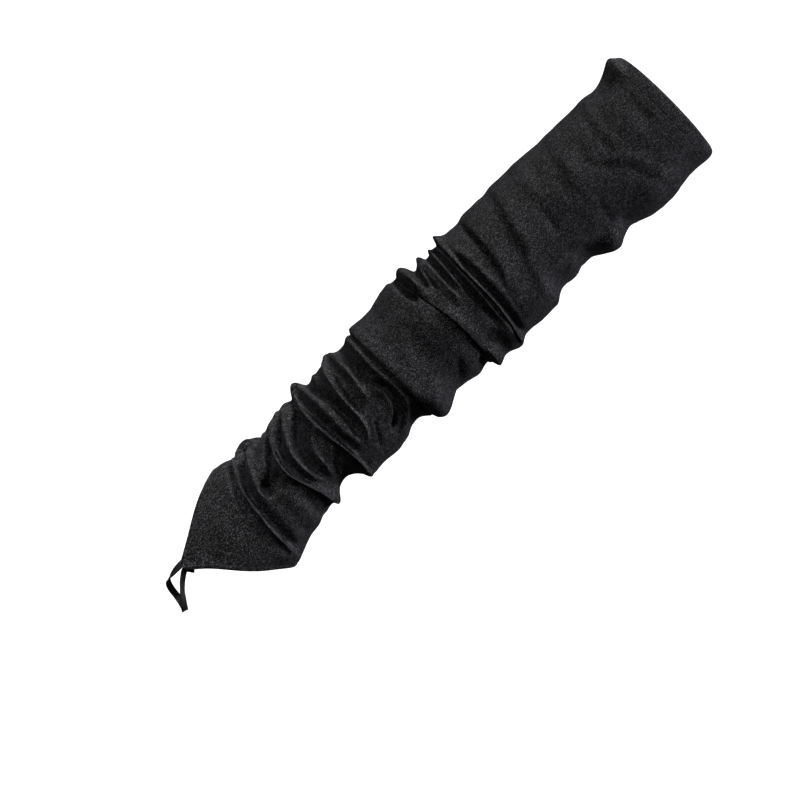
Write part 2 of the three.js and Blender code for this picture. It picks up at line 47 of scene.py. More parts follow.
# The sleeve's real sizes, the same as its solid's
SLEEVE_LENGTH = 420
ARM_WIDTH = 84
ARM_DEPTH = 80
ARM_HEM = 9
HAND_HEM = 3.2
POINT_DEPTH = 54
POINT_DEPTH_RIGHT = 48
PALM_RISE = 9
POINT_OFFSET = -6.6
POINT_STRAIGHT = 0.8
POINT_BOW = 6
TIP_DROP = 3.4
TIP_REACH = 9
HALF_WIDTH = ARM_WIDTH / 2
MEAN_RADIUS = (ARM_WIDTH + ARM_DEPTH) / 4
QUARTER_GIRTH = math.pi * MEAN_RADIUS / 2
FULL_TURN = 4
GIRTH = FULL_TURN * QUARTER_GIRTH

# The cloth: its thickness, the gap to a hem, its columns of points, how many outer rows go to one
# inner row, and how far round a direction out of it and an edge's slant are measured
CLOTH = 0.9
SEAM_GAP = 0.06
COLUMNS = 152
INNER_STEP = 3
TURN_STEP = 0.01
SLANT_COLUMNS = 2

# The cloth's small unevenness: each wave's size in millimetres round and down, then its height, how
# far apart the waves are read from the noise, and how far from the hems they calm down
RIPPLES = [(30, 14, 0.5), (13, 5, 0.28), (5, 2.4, 0.09)]
RIPPLE_APART = 31
LEVEL_REACH = 12

# Rows of points run down to each guide in turn, and crowd together near it. The first guide is
# level, at a share of the length. The others follow a fold, and stay above the panel at the hand.
FIRST_GUIDE = 0.2
FIRST_ROWS = 44
GUIDES = [
    ("slant_lower", 42),
    ("elbow_ridge_line", 38),
    ("elbow_lip_line", 50),
    ("cuff_lip_line", 54),
    ("hairpin", 62),
    ("hook_lip", 44),
    ("wrist_lip", 58),
    ("hand_lip", 58),
]
PANEL_LEAST = 7
PANEL_ROWS = 30
CROWDING = 0.5

# The turned hem at the arm, in section: how far in from the sleeve's outer face, and how far down.
# The inner layer reaches down behind the sleeve.
ARM_HEM_SECTION = [
    (-0.07, 9), (-0.08, 8.6), (-0.1, 7.5), (-0.1, 6), (-0.06, 4.5), (-0.02, 3), (0.02, 1.8), (0.1, 1),
    (0.35, 0.4), (0.75, 0.08), (1.2, 0), (1.65, 0.08), (2.05, 0.4), (2.3, 1.2), (2.35, 3), (2.35, 6),
    (2.35, 9), (2.3, 10.8), (2.1, 11.1), (1.5, 11.1), (1.3, 10.8), (1.25, 9.6), (1.25, 9.1), (1.1, 9),
    (0.4, 9),
]

# The rolled hem at the hand, in section: how far in from the sleeve's outer face, and how far up
# from the edge as a share of the hem's width.
HAND_HEM_SECTION = [
    (0.1, 1), (-0.1, 0.97), (-0.22, 0.85), (-0.26, 0.65), (-0.22, 0.4), (-0.05, 0.18), (0.3, 0.05),
    (0.8, 0), (1.3, 0.02), (1.75, 0.12), (2.05, 0.3), (2.15, 0.6), (2.15, 1), (2.1, 1.5), (1.9, 1.62),
    (1.45, 1.62), (1.25, 1.5), (1.2, 1.15), (1.15, 1), (0.6, 1),
]
HAND_HEM_THICK = 2.2

# The hand hem's stitches. The row's height is a share of the hem's width, a stitch's middle is a
# share of how proud it stands, and its sections are places along it with their sizes.
STITCH_PITCH = 2.3
STITCH_LENGTH = 1.7
STITCH_HALF_WIDTH = 0.24
STITCH_PROUD = 0.34
STITCH_MIDDLE = 0.4
STITCH_ROW = 0.86
STITCH_SIDES = 6
STITCH_SECTIONS = [(-0.5, 0.35), (-0.36, 0.85), (0, 1), (0.36, 0.85), (0.5, 0.35)]
SAMPLES_PER_COLUMN = 8

# The ribbon loop: how far across as a share of the loop's width from its middle, how deep as a
# share of it back from the cloth's inner face at the point, how far down as a share of the loop's
# reach, and the roll about the ribbon's own line in degrees. Its first end runs on straight up,
# and its last one across, up and to a roll of its own.
RIBBON = [
    (-0.59, 0.07, 0, -38), (-0.58, 0.18, 0.34, -22), (-0.53, 0.5, 0.68, -5), (-0.3, 0.88, 0.84, 0),
    (0.04, 1.02, 0.9, 0), (0.36, 0.86, 0.96, 0), (0.53, 0.52, 1, -15), (0.47, 0.26, 0.94, -22),
    (0.27, 0.13, 0.78, 8), (0.02, 0.1, 0.56, 52), (-0.24, 0.11, 0.27, 70), (-0.38, 0.12, 0, 78),
]
RIBBON_FIRST_END = 6
RIBBON_LAST_END = (4.1, 4, 0)
RIBBON_WIDTH = 4.4
RIBBON_THICK = 0.8
RIBBON_GAP = 0.3
RIBBON_SOLID = 1
RIBBON_STEPS = 14
LOOP_WIDTH = 20
LOOP_OFFSET = 3.8
LOOP_REACH = 19

# One face of the ribbon, in section: shares of its half width and of its thickness. The edges are
# slightly thicker than the middle.
RIBBON_FACE = [(-0.9, 0.45), (-0.5, 0.38), (0, 0.36), (0.5, 0.38), (0.9, 0.45), (0.98, 0.3), (1, 0)]

# Colours, and how many grains or ribs of the weave go to a metre round and down
SATIN_BLACK = (0.0015, 0.0015, 0.0018, 1)
HEM_BLACK = (0.006, 0.006, 0.007, 1)
# The satin's bright specks: partly the weave's grain, partly painted glints of threads that catch the light
SATIN_GLINT_SPECK = (0.24, 0.236, 0.253, 1)
RIBBON_DARK = (0.006, 0.006, 0.006, 1)
RIBBON_LIGHT = (0.03, 0.029, 0.029, 1)
THREAD_DARK = (0.004, 0.004, 0.005, 1)
THREAD_LIGHT = (0.06, 0.059, 0.063, 1)
SHEEN_TINT = (0.9, 0.92, 1, 1)
WHITE = (1, 1, 1, 1)
PALE = (0.9, 0.9, 0.9, 1)
SATIN_GRAINS = (2900, 2100, 1)
RIBBON_RIBS = (300, 2600, 1)
THREAD_TWISTS = 1600

# The setting, in metres, and the camera's lens and sensor, in millimetres
FLOOR_Z = -0.75
STAGE_SIDE = 4
FLOOR_FRONT = -6
BACKDROP_Y = 4
BACKDROP_FOOT = -2
BACKDROP_TOP = 4
SLEEVE_MIDDLE = (0, 0, -0.22)
CUFF_MIDDLE = (0, 0, -0.35)
HAND_MIDDLE = (0, 0, -0.45)
CAMERA_PLACE = (0.0153, -2.2, -0.25)
CAMERA_RIGHT = (0.7034, 0, 0.7108)
CAMERA_UP = (-0.7108, 0, 0.7034)
CAMERA_BACK = (0, -1, 0)
CAMERA_LENS = 157.1
CAMERA_SENSOR = 36

# The worn outline: share of the length, then left and right as shares of half the arm's width,
# depth and set-back as shares of the arm's depth, and the fullness of the section.
SECTIONS = np.array([
    (0, 0.97, 0.99, 1, 0, 2.05),
    (0.048, 0.905, 0.99, 1, 0, 2.05),
    (0.107, 0.92, 0.99, 0.99, 0, 2.05),
    (0.167, 0.93, 0.93, 0.98, 0, 2.05),
    (0.227, 0.95, 0.87, 0.97, 0, 2.05),
    (0.287, 0.95, 0.87, 0.96, 0, 2.05),
    (0.361, 0.92, 0.92, 0.96, 0, 2.05),
    (0.421, 0.9, 0.94, 0.97, 0.01, 2.05),
    (0.481, 0.96, 0.9, 0.95, 0.01, 2.1),
    (0.518, 0.95, 0.84, 0.92, 0.01, 2.1),
    (0.567, 0.9, 0.9, 0.9, 0.01, 2.1),
    (0.597, 0.84, 0.75, 0.84, 0.01, 2.1),
    (0.66, 0.81, 0.86, 0.8, 0.01, 2.1),
    (0.713, 0.81, 0.77, 0.74, 0.01, 2.15),
    (0.742, 0.8, 0.64, 0.7, 0, 2.15),
    (0.779, 0.75, 0.75, 0.67, 0, 2.2),
    (0.831, 0.8, 0.86, 0.63, -0.01, 2.3),
    (0.869, 0.86, 0.96, 0.6, -0.01, 2.4),
    (0.934, 0.84, 0.98, 0.54, -0.01, 2.4),
    (1, 0.78, 0.93, 0.46, -0.02, 2.4),
])
AT, LEFT, RIGHT, DEEP, SET, FULL = range(6)

# The folds, in millimetres: name, rise, above, below, hang, power, left, right and line. "rise" is
# below zero for a crease. "above" and "below" say how wide it is towards the arm and the hand,
# "hang" how far it drags over what lies below it, and "power" how round it is: 2 is a roll, and
# near 1 a sharp crease. "left" and "right" carry its line on round that side, in turns. The line
# runs through points of (across, down) as seen from its side.
FRONT_FOLDS = [
    ("rim_flare", 4.3, 3, 8, 0, 2, 0.5, 0, [(-41.2, 5.9), (-27.1, 9.2)]),
    ("rim_flare_corner", 1.1, 2.2, 5, 0, 2, 0.4, 0, [(-41.2, 6.2), (-36, 7.6)]),
    ("rim_right", 2.2, 4, 9, 0, 2, 0, 0.5, [(32.5, 4.4), (41.4, 3.7)]),
    ("rim_dip_a", -0.3, 3, 4, 0, 2, 0, 0, [(-34.7, 14.6), (-23.3, 16.9), (-5.9, 18.2), (7.7, 20.6)]),
    ("rim_dip_b", -0.78, 2.5, 3, 0, 2, 0.6, 0, [(-38.6, 25.8), (-26.5, 27.8)]),
    ("upper_dip_a", -0.66, 2.5, 3.5, 0, 2, 0, 0, [(-28.4, 33.2), (-19.6, 38.1), (-10.9, 42.1)]),
    ("upper_roll_a", 0.54, 3, 3, 0, 2, 0.3, 0, [(-36, 37.4), (-18.3, 42.5), (-2.8, 44.1)]),
    ("upper_dip_b", -0.6, 1.8, 2.6, 0, 1.6, 0.2, 0, [(-33.4, 45.2), (-12.1, 47.3), (2.8, 49)]),
    ("upper_dip_c", -0.72, 2, 3.2, 0, 1.8, 0, 0, [(-24.6, 58.2), (-17.1, 61), (-4.7, 65.6)]),
    ("upper_diagonal", -0.6, 2, 3.2, 0, 1.7, 0, 0.2,
     [(-7.1, 66.8), (0.3, 59.5), (7.7, 51.4), (15.7, 45.7), (33.8, 39)]),
    ("upper_diagonal_roll", 0.6, 5, 3, 0, 2, 0, 0.3,
     [(-2.2, 56.4), (6.5, 46.5), (16.4, 40.7), (34.4, 33.9)]),
    ("upper_dip_d", -0.84, 2, 3, 0, 1.6, 0, 0.5, [(8.9, 74.2), (23.8, 77.5), (38.9, 78.8)]),
    ("upper_dip_e", -0.6, 3, 5, 0, 2, 0.4, 0, [(-37.3, 75.8), (-18.3, 80.8), (0.3, 86)]),
    ("upper_roll_b", 0.54, 5, 4, 0, 2, 0.3, 0, [(-36, 67.2), (-18.3, 72.7), (0.3, 78.6)]),
    ("upper_dip_f", -0.66, 2.4, 4, 0, 2, 0, 0, [(-18.3, 99.9), (-2.8, 105.1), (12.6, 106.2)]),
    ("upper_roll_c", 0.54, 5, 3, 0, 2, 0.4, 0, [(-37.3, 95.7), (-18.3, 100.5), (-2.8, 103.2)]),
    ("upper_swell", 4.2, 16, 15, 0, 2, 0, 0.7, [(22.6, 44.8), (39.5, 44.4)]),
    ("upper_notch", -2.4, 5, 5, 0, 2, 0, 0.7, [(28.8, 70.4), (41.4, 71)]),
    ("pouch", 7.4, 8, 8.5, 0.6, 2, 0, 0.8, [(28.8, 83.5), (39.5, 84.4)]),
    ("pouch_crease", -1.9, 2.4, 5, 0, 1.8, 0, 0.7, [(25.1, 102.2), (31.3, 101.2), (38.9, 99.9)]),
    ("pouch_foot", 1.6, 6, 5, 0, 2, 0, 0.5, [(26.3, 115.7), (36.3, 116.4)]),
    ("pouch_tail", -1.2, 2.2, 3, 0, 1.8, 0, 0.4, [(18.8, 111), (27.5, 108.8), (37.6, 108.8)]),
    ("upper_arm_dip", -0.6, 5, 4, 0, 2, 0, 0.7, [(26.3, 126.2), (37.6, 127.5)]),
    ("upper_arm_swell", 5, 4.6, 20, 0, 2, 0, 0.8, [(21.3, 137.5), (37, 137.4)]),
    ("slant_upper", 1.1, 8, 3.6, 0, 2, 0.4, 0.2,
     [(-39.3, 115.4), (-27.7, 118.7), (-12.1, 126), (0.3, 128.5), (12.6, 132.1), (23.2, 135.6)]),
    ("slant_upper_dip", -0.9, 2, 3.4, 0, 1.8, 0.4, 0,
     [(-37.3, 120.9), (-27.7, 122.8), (-13.4, 127.5), (0.3, 130.1), (12.6, 133.3)]),
    ("slant_middle", 0.48, 3, 3, 0, 2, 0.2, 0, [(-36, 131.3), (-18.3, 135.7), (-4.7, 138.3)]),
    ("slant_lower", 1.2, 7, 3, 0, 2, 0.4, 0.3,
     [(-38.6, 141), (-24.6, 143.5), (-12.1, 145), (0.3, 148.7), (12.6, 151.7), (26.3, 154.5)]),
    ("slant_lower_dip", -1.2, 1.8, 3, 0, 1.7, 0.3, 0,
     [(-37.3, 146), (-21.5, 147.3), (-2.8, 149.7), (8.9, 152.4)]),
    ("elbow_band", 1.4, 4, 2.2, 0, 2, 0.3, 0.2,
     [(-27.8, 159.7), (-18.4, 159.6), (0.3, 158.8), (12.6, 159.1), (25.1, 161), (34.4, 163.4)]),
    ("elbow_hollow", -4, 2.4, 1.2, 0, 1.8, 0, 0.2,
     [(-24.6, 162.2), (-17.1, 162.5), (0.3, 162.8), (12.6, 163), (25.1, 164), (35.1, 165.5)]),
    ("elbow_ridge", 2.6, 1.8, 1.1, 0.4, 2, 0.5, 0.3,
     [(-41.2, 163), (-18.4, 164.7), (0.3, 164.9), (12.6, 165.1), (25.1, 166.5), (35.1, 169.2)]),
    ("elbow_ridge_end", 3.4, 4, 1.3, 0, 2, 0.6, 0, [(-41.2, 162.7), (-34.7, 163.7)]),
    ("elbow_ridge_line", -1.9, 0.45, 0.45, 0, 1.8, 0.1, 0.1,
     [(-38.6, 165.6), (-18.4, 166.4), (0.3, 166.2), (12.6, 166.3), (25.1, 167.7), (35.7, 170.7)]),
    ("elbow_plateau", 2, 1.2, 1.4, 0, 2, 0.2, 0,
     [(-34.1, 167), (-18.4, 167.7), (0.3, 168.2), (12.6, 169.4), (28.2, 170.6)]),
    ("elbow_hollow_lower", -4, 1.9, 1.3, 0, 1.8, 0.1, 0,
     [(-35.4, 169.8), (-18.4, 170.7), (-5.9, 171.6), (6.5, 172.8), (15.7, 173), (28.2, 173.4)]),
    ("elbow_right_upper", 4.6, 4, 7.5, 0, 2, 0, 0.8, [(21.3, 170.5), (32.6, 171.4), (41.4, 171.7)]),
    ("elbow_right_dip", -1.2, 4, 4, 0, 2, 0, 0.7, [(27.6, 180.8), (41.4, 181.5)]),
    ("elbow_thin", 2.6, 1.2, 1.2, 0, 2, 0.2, 0,
     [(-37.3, 171.2), (-24.6, 172.4), (-15.2, 173.8), (-7.2, 175.2)]),
    ("elbow_notch", -4.6, 2.8, 1, 0, 1.8, 0.3, 0,
     [(-37.3, 175.9), (-24.6, 176.9), (-15.2, 177.2), (-7.2, 177.1)]),
    ("elbow_roll", 1.5, 1.2, 3, 0, 2, 0.4, 0, [(-36, 177.7), (-24.6, 178), (-12.1, 179.1), (3.4, 179.8)]),
    ("elbow_lens_line", -2.6, 0.8, 0.8, 0, 1.6, 0, 0, [(-33.5, 182.2), (-24.6, 184.7), (-17.1, 185.3)]),
    ("elbow_side_ridge", 2.2, 1.9, 1.2, 0, 2, 0.6, 0,
     [(-41.2, 180), (-36, 182), (-28.4, 185), (-22.1, 186.6)]),
    ("elbow_side_notch", -5, 2.6, 1.1, 0, 1.8, 0.6, 0,
     [(-38.6, 186.8), (-33.5, 187.8), (-27.1, 188.8), (-20.9, 189)]),
    ("elbow_lip_end", 3.8, 3.6, 3.5, 0, 2, 0.6, 0, [(-43.7, 192.7), (-34.1, 192), (-21.5, 191.7)]),
    ("elbow_lip", 1.7, 5, 0.9, 0.4, 2, 0, 0.8,
     [(-10.9, 193.3), (0.3, 191.5), (12.6, 190.6), (25.1, 190.7), (37.6, 190.4)]),
    ("elbow_lip_right", 3.4, 6, 1, 0, 2, 0, 0.7, [(27.6, 188.6), (38.9, 189.5)]),
    ("elbow_lip_left", 1.6, 3, 3.4, 0.4, 2, 0.7, 0, [(-41.2, 192.1), (-27.8, 191.9), (-13.4, 191.8)]),
    ("elbow_lip_line", -1.7, 0.4, 0.6, 0, 1.8, 0.6, 0.7,
     [(-38.6, 197.1), (-24.6, 196.1), (-12.1, 194.7), (0.3, 192.9), (12.6, 192), (25.1, 192.1),
      (37.6, 191.8)]),
    ("elbow_lip_line_left", -2.8, 0.6, 0.5, 0, 1.8, 0.3, 0,
     [(-38.6, 198.2), (-31, 197.5), (-23.4, 196.6), (-15.9, 195.4)]),
    ("elbow_lip_step", -3.6, 0.8, 5, 0, 2, 0, 0.7, [(28.8, 193.7), (40.1, 194)]),
    ("elbow_lip_tail", 2.2, 1.1, 0.9, 0, 2, 0, 0, [(-38.6, 199.3), (-32.2, 199.2), (-27.2, 198.8)]),
    ("elbow_tail_dip", -4.2, 1.8, 1.4, 0, 1.8, 0.3, 0,
     [(-38.6, 201), (-31, 200.9), (-24.6, 200.1), (-20.3, 197.9)]),
    ("cuff_left", 1.9, 4, 8, 0, 2, 0.6, 0, [(-41.2, 205.7), (-25.9, 206.7)]),
    ("cuff_right_upper", 1.6, 8, 10, 0, 2, 0, 0.7, [(25.1, 201), (37, 200.8)]),
    ("cuff_crease", -1.02, 1.6, 3, 0, 1.6, 0, 0.5, [(21.3, 203.6), (27.6, 209.2), (36.3, 219.2)]),
    ("cuff_left_dip", -1.4, 5, 6, 0, 2, 0.6, 0, [(-37.4, 224.2), (-22.2, 226.8)]),
    ("cuff_middle_dip", -0.54, 4, 6, 0, 2, 0, 0, [(-14.7, 213.1), (0.2, 215.7), (15.1, 214.4)]),
    ("cuff_middle_roll", 0.54, 5, 5, 0, 2, 0, 0.2, [(-12.2, 228.7), (6.4, 230.6), (27.6, 227.4)]),
    ("cuff_right_lower", 4.4, 8, 5, 0, 2, 0, 0.8, [(18.8, 234.9), (37, 233.6)]),
    ("cuff_lip", 2, 6, 1.1, 0.6, 2, 0.1, 0.8,
     [(-37.4, 241.2), (-18.4, 241.4), (0.2, 241.1), (12.6, 241.3), (25.1, 240.9), (36.4, 240.1)]),
    ("cuff_lip_line", -2.2, 0.55, 0.5, 0, 1.8, 0.4, 0.5,
     [(-36.1, 243.6), (-18.4, 244.1), (0.2, 244.5), (12.6, 244.6), (25.1, 243.6), (35.7, 242.2)]),
    ("arch_ridge", 2.6, 2.4, 1.8, 0, 2, 0.4, 0,
     [(-37.4, 247.6), (-23.4, 247.9), (-12.2, 248.2), (-4.7, 247.8), (0.2, 247.1), (9.5, 246.8),
      (17.6, 248.1), (22.6, 251.9), (26.3, 257), (29.5, 263.3), (32, 271)]),
    ("arch_wide_dip", -4.8, 5.6, 1.4, 0, 2, 0.1, 0,
     [(-37.4, 256.7), (-24.7, 257), (-13.5, 257.6), (-4.7, 258.8)]),
    ("arch_dip", -5.2, 2.2, 1.8, 0, 1.8, 0, 0,
     [(-6, 256.4), (-2.3, 253.1), (1.5, 251.5), (6.4, 251), (12.6, 252.3), (17.6, 255.2), (21.3, 259.5),
      (24.5, 264.6), (27.6, 269.1)]),
    ("inner_arch", 1.4, 1.6, 3, 0, 2, 0, 0,
     [(-3.5, 257), (0.2, 254.3), (5.2, 253.1), (11.4, 254.6), (16.4, 258.2), (20.1, 262.7)]),
    ("lower_roll", 2.4, 2.2, 2.6, 0, 2, 0.6, 0,
     [(-37.4, 261.1), (-27.9, 260.8), (-15.3, 261.4), (-4.7, 263), (2.7, 263.9)]),
    ("lower_roll_end", 1.2, 3, 5, 0, 2, 0.5, 0, [(-41.3, 264.7), (-34.2, 264.6)]),
    ("thin_dip", -0.8, 1.4, 3, 0, 1.8, 0, 0, [(-32.3, 263.9), (-18.5, 263.8), (-7.2, 264.9)]),
    ("inner_dip", -0.9, 2, 2, 0, 2, 0, 0, [(5.2, 254.6), (5.8, 261.4), (5.2, 271.6)]),
    ("hairpin_line", -2.2, 1.2, 0.7, 0, 1.6, 0, 0,
     [(-26, 268.4), (-15.3, 271.8), (-6, 273.2), (3.3, 273.5)]),
    ("hairpin", 3.2, 1.5, 2, 0, 2, 0.5, 0,
     [(-36.1, 264.6), (-32.3, 269.1), (-27.9, 271.6), (-21.6, 273.2), (-12.2, 274.8), (0.2, 275.4),
      (6.4, 275.8), (12.6, 277.5), (17, 280.5), (20.1, 283.8)]),
    ("hairpin_tail", -1.3, 0.9, 0.9, 0, 1.6, 0, 0,
     [(12.6, 270.6), (18.9, 273.2), (23.8, 276.3), (27.6, 280.3)]),
    ("side_button", 1.2, 1.2, 1.6, 0, 2, 0.3, 0, [(-34.9, 278.5), (-28.5, 278.8)]),
    ("deep_hollow", -6.8, 3.6, 1.4, 0, 1.8, 0.4, 0,
     [(-37.4, 285.8), (-29.8, 286), (-23.5, 284.1), (-17.2, 282.5), (-6, 281.4), (3.3, 281.7),
      (9.5, 283.2), (17, 284.4)]),
    ("right_swell", 2, 4, 12, 0, 2, 0, 0.7, [(27.6, 262), (35.1, 262.7)]),
    ("soft_roll", 2.4, 4.5, 2, 0, 2, 0.4, 0,
     [(-36.1, 289.4), (-27.9, 288.9), (-18.5, 288.2), (-6, 288.4), (3.3, 288.9), (12.6, 287.7),
      (21.3, 286.8)]),
    ("under_roll", -4.4, 2.4, 0.9, 0, 1.8, 0.2, 0,
     [(-31.1, 294), (-18.5, 294), (-9.1, 293.7), (0.2, 293.3), (9.5, 292.3), (21.3, 291.1)]),
    ("hook_upper", 1.4, 0.8, 0.7, 0, 2, 0, 0,
     [(-21, 294.9), (-9.1, 294.9), (0.2, 294.4), (9.5, 293.6), (21.3, 293.1)]),
    ("hook_line", -2.2, 0.5, 0.6, 0, 1.8, 0, 0,
     [(-27.3, 296.2), (-12.2, 296.5), (0.2, 295.8), (9.5, 294.6), (21.3, 293.9)]),
    ("hook_lip", 3.5, 1.6, 1.2, 0.4, 2, 0, 0.5,
     [(-8.5, 298.2), (0.2, 297.4), (6.4, 296.1), (12.6, 295.2), (22, 294.8), (28.2, 295.3), (32, 297.4)]),
    ("hook_lip_left", 3.2, 1.6, 2.8, 0.2, 2, 0.7, 0,
     [(-37.4, 292.7), (-33.6, 294.8), (-27.9, 296.7), (-18.5, 298), (-9.1, 298.4), (-1.7, 297.8)]),
    ("hook_lip_end", 3.2, 6, 1.6, 0, 2, 0, 0.5, [(27.6, 294.2), (35.8, 295.6)]),
    ("hook_bulge", 3, 3.4, 3.2, 0, 2, 0.5, 0, [(-40.7, 290.1), (-33.6, 291.2)]),
    ("hook_left_notch", -1.6, 1.6, 2, 0, 2, 0.5, 0, [(-38.7, 298.8), (-31.1, 299.3)]),
    ("hook_pocket", -3.8, 3.4, 2.6, 0, 2, 0, 0.3, [(8.9, 298.8), (15.1, 301), (22, 302.7), (28.8, 304.3)]),
    ("hook_notch", -3, 2.4, 6, 0, 2, 0, 0.7, [(23.8, 303), (31.4, 303.7)]),
    ("hook_middle", -1.6, 1.8, 1.6, 0, 2, 0, 0, [(-7.3, 301.6), (0.2, 301), (6.4, 299.4), (12, 297.5)]),
    ("thin_ridge", 2.3, 1.8, 1.5, 0, 2, 0, 0,
     [(-8.5, 301.6), (-5.4, 306.7), (-1, 309.8), (5.2, 311), (12.6, 311.9), (22, 314.4)]),
    ("thin_ridge_dip", -1.3, 0.8, 0.8, 0, 1.6, 0, 0, [(12.6, 306.1), (17, 308), (21.4, 310.5)]),
    ("long_hollow", -5.6, 3.2, 1.6, 0, 1.8, 0.4, 0,
     [(-31.1, 299.3), (-26, 303), (-21, 308), (-15.4, 312.9), (-9.1, 316.5), (0.2, 318.6), (9.5, 318.3),
      (20.7, 317.2)]),
    ("long_hollow_left", -3.2, 5.6, 1.4, 0, 2, 0, 0,
     [(-29.2, 302.4), (-23.5, 306.8), (-17.3, 311.4), (-11, 315), (-3.5, 317.7)]),
    ("long_line", -2.6, 2, 1.1, 0, 1.8, 0, 0,
     [(-29.2, 300.5), (-22.9, 303.6), (-16.6, 307.1), (-10.4, 311), (-3.5, 314.3), (7.7, 316.2)]),
    ("wrist_ridge", 3, 1.8, 1.8, 0, 2, 0.1, 0,
     [(-32.3, 307.2), (-29.2, 308.8), (-25.4, 311.7), (-19.1, 316.2), (-12.9, 319.5), (-6, 322),
      (1.4, 322.6), (8.9, 322), (17.6, 319.6)]),
    ("wrist_ridge_end", 1.6, 4, 5, 0, 2, 0.5, 0, [(-38.7, 307.7), (-32.3, 308.2)]),
    ("wrist_hollow", -6.4, 2.3, 0.9, 0, 1.8, 0.3, 0,
     [(-33.6, 309.1), (-29.2, 313.9), (-24.8, 318.4), (-18.5, 323), (-12.3, 325.8), (-6, 327.3),
      (0.2, 327.7), (6.4, 327.1), (12.6, 325.3), (20.7, 321.8)]),
    ("wrist_lip", 4.2, 2.2, 1.4, 1, 2, 0.1, 0.8,
     [(-31.1, 316.9), (-27.9, 319.5), (-23.5, 323.2), (-18.5, 326.6), (-12.3, 329.3), (-6, 330.9),
      (-1.7, 331), (3.3, 329.9), (9.5, 327.8), (15.7, 325.6), (22, 324.1), (28.2, 323), (33.9, 322.1)]),
    ("wrist_end", 3.4, 3.4, 3, 0, 2, 0, 0.5, [(23.9, 320.2), (32.6, 321)]),
    ("wrist_lip_line", -3, 0.55, 0.55, 0, 1.8, 0, 0,
     [(-19.8, 325.5), (-12.3, 328.5), (-6, 330), (0.2, 330.1), (6.4, 328.5), (12.6, 326.2), (21.4, 324)]),
    ("pocket_left", -6, 3, 1.1, 0, 1.8, 0.3, 0,
     [(-28.6, 324.7), (-21.7, 330.2), (-16, 334.8), (-11, 339.5), (-8.5, 344.8), (-6.7, 351)]),
    ("pocket_right", -5, 3.4, 1.1, 0, 1.8, 0, 0,
     [(-2.3, 351.6), (-1.1, 346), (1.4, 341), (5.2, 336.6), (10.8, 332.3)]),
    ("pocket_foot", -4.4, 4.5, 1, 0, 2, 0, 0, [(-8.5, 346.3), (-5.7, 350.7), (-2.3, 351), (0.2, 346.3)]),
    ("pocket_heart", -6, 4.2, 4.2, 0, 2, 0, 0, [(-4.8, 335.1), (-4.8, 342), (-4.2, 349.5)]),
    ("heel_roll", 1, 3.6, 3.6, 0, 2, 0, 0.5, [(5.2, 343.2), (16.4, 340.8), (32.6, 341.7)]),
    ("heel_dip", -1.1, 2.4, 3.4, 0, 1.8, 0, 0.5, [(13.9, 332.6), (22.6, 334), (33.9, 336.1)]),
    ("heel_dip_lower", -0.5, 2, 3, 0, 1.7, 0, 0.4, [(2.7, 350.1), (15.1, 347.6), (31.4, 349.2)]),
    ("thumb_dip", -5.4, 2.4, 2.4, 0, 1.8, 0.6, 0, [(-36.2, 327.4), (-32.4, 329.8), (-28.6, 332.8)]),
    ("thumb_wedge", -5, 4.4, 0.8, 0, 1.8, 0, 0, [(-31.7, 336), (-27.3, 339.7), (-21.7, 342.4)]),
    ("thumb_roll", 2.8, 1.8, 2, 0, 2, 0.2, 0,
     [(-31.1, 335.4), (-28.6, 339.7), (-24.8, 343.7), (-18.5, 347.4), (-12.3, 350.1), (-4.8, 352.6),
      (3.3, 352.6)]),
    ("thumb_notch", -3, 2, 3, 0, 2, 0.4, 0, [(-37.5, 350), (-30.5, 350.4)]),
    ("thumb_end", 3.8, 5, 5.5, 0, 2, 0.5, 0, [(-37.5, 339.3), (-31.7, 339.8)]),
    ("hand_hollow", -6.6, 3.4, 1, 0, 1.8, 0, 0.3,
     [(-33, 339.2), (-31.1, 345.4), (-27.3, 350), (-23.6, 352.8), (-18.6, 355.2), (-12.3, 357.6),
      (-6.1, 359.2), (0.2, 360.1), (9.5, 360.7), (18.9, 361.2), (32.6, 361.4)]),
    ("hand_hollow_left", -2.6, 3.4, 2.4, 0, 1.8, 0, 0,
     [(-32.4, 339.8), (-30.5, 345.4), (-26.1, 350), (-21.1, 353), (-14.8, 355.8)]),
    ("hand_lip", 3.6, 2.4, 1.2, 0.6, 2, 0.15, 0.4,
     [(-32.4, 349), (-28, 352.1), (-23.6, 354.8), (-18.6, 357.4), (-12.3, 359.4), (-6.1, 360.4),
      (0.2, 361.4), (9.5, 362.5), (18.9, 363.6), (28.9, 364.1)]),
    ("hand_lip_line", -3.2, 0.55, 0.5, 0, 1.8, 0, 0,
     [(-27.3, 352.2), (-18.6, 357), (-12.3, 358.6), (-6.1, 359.6), (0.2, 360.3), (9.5, 361.6),
      (18.2, 362.5)]),
    ("hand_under", -4, 2.6, 2.2, 0, 2, 0.2, 0.2,
     [(-29.9, 355.4), (-23.6, 358.4), (-15.4, 362.1), (-9.2, 364.4), (0.2, 366.5), (9.5, 368),
      (18.9, 368.5), (28.9, 367.6)]),
    ("hand_corner", 2.4, 6, 8, 0, 2, 0, 0.5, [(26.4, 366.2), (40.2, 368)]),
    ("panel_dip_a", -0.6, 3, 4, 0, 2, 0, 0, [(-8.6, 400.7), (0.1, 401.7), (11.4, 398.8)]),
    ("panel_dip_b", -0.6, 3, 3, 0, 2, 0, 0, [(-9.9, 413), (-2.4, 413.6)]),
    ("panel_roll", 0.8, 6, 8, 0, 2, 0, 0, [(-18.6, 380.9), (0.2, 383.4), (21.4, 381)]),
]
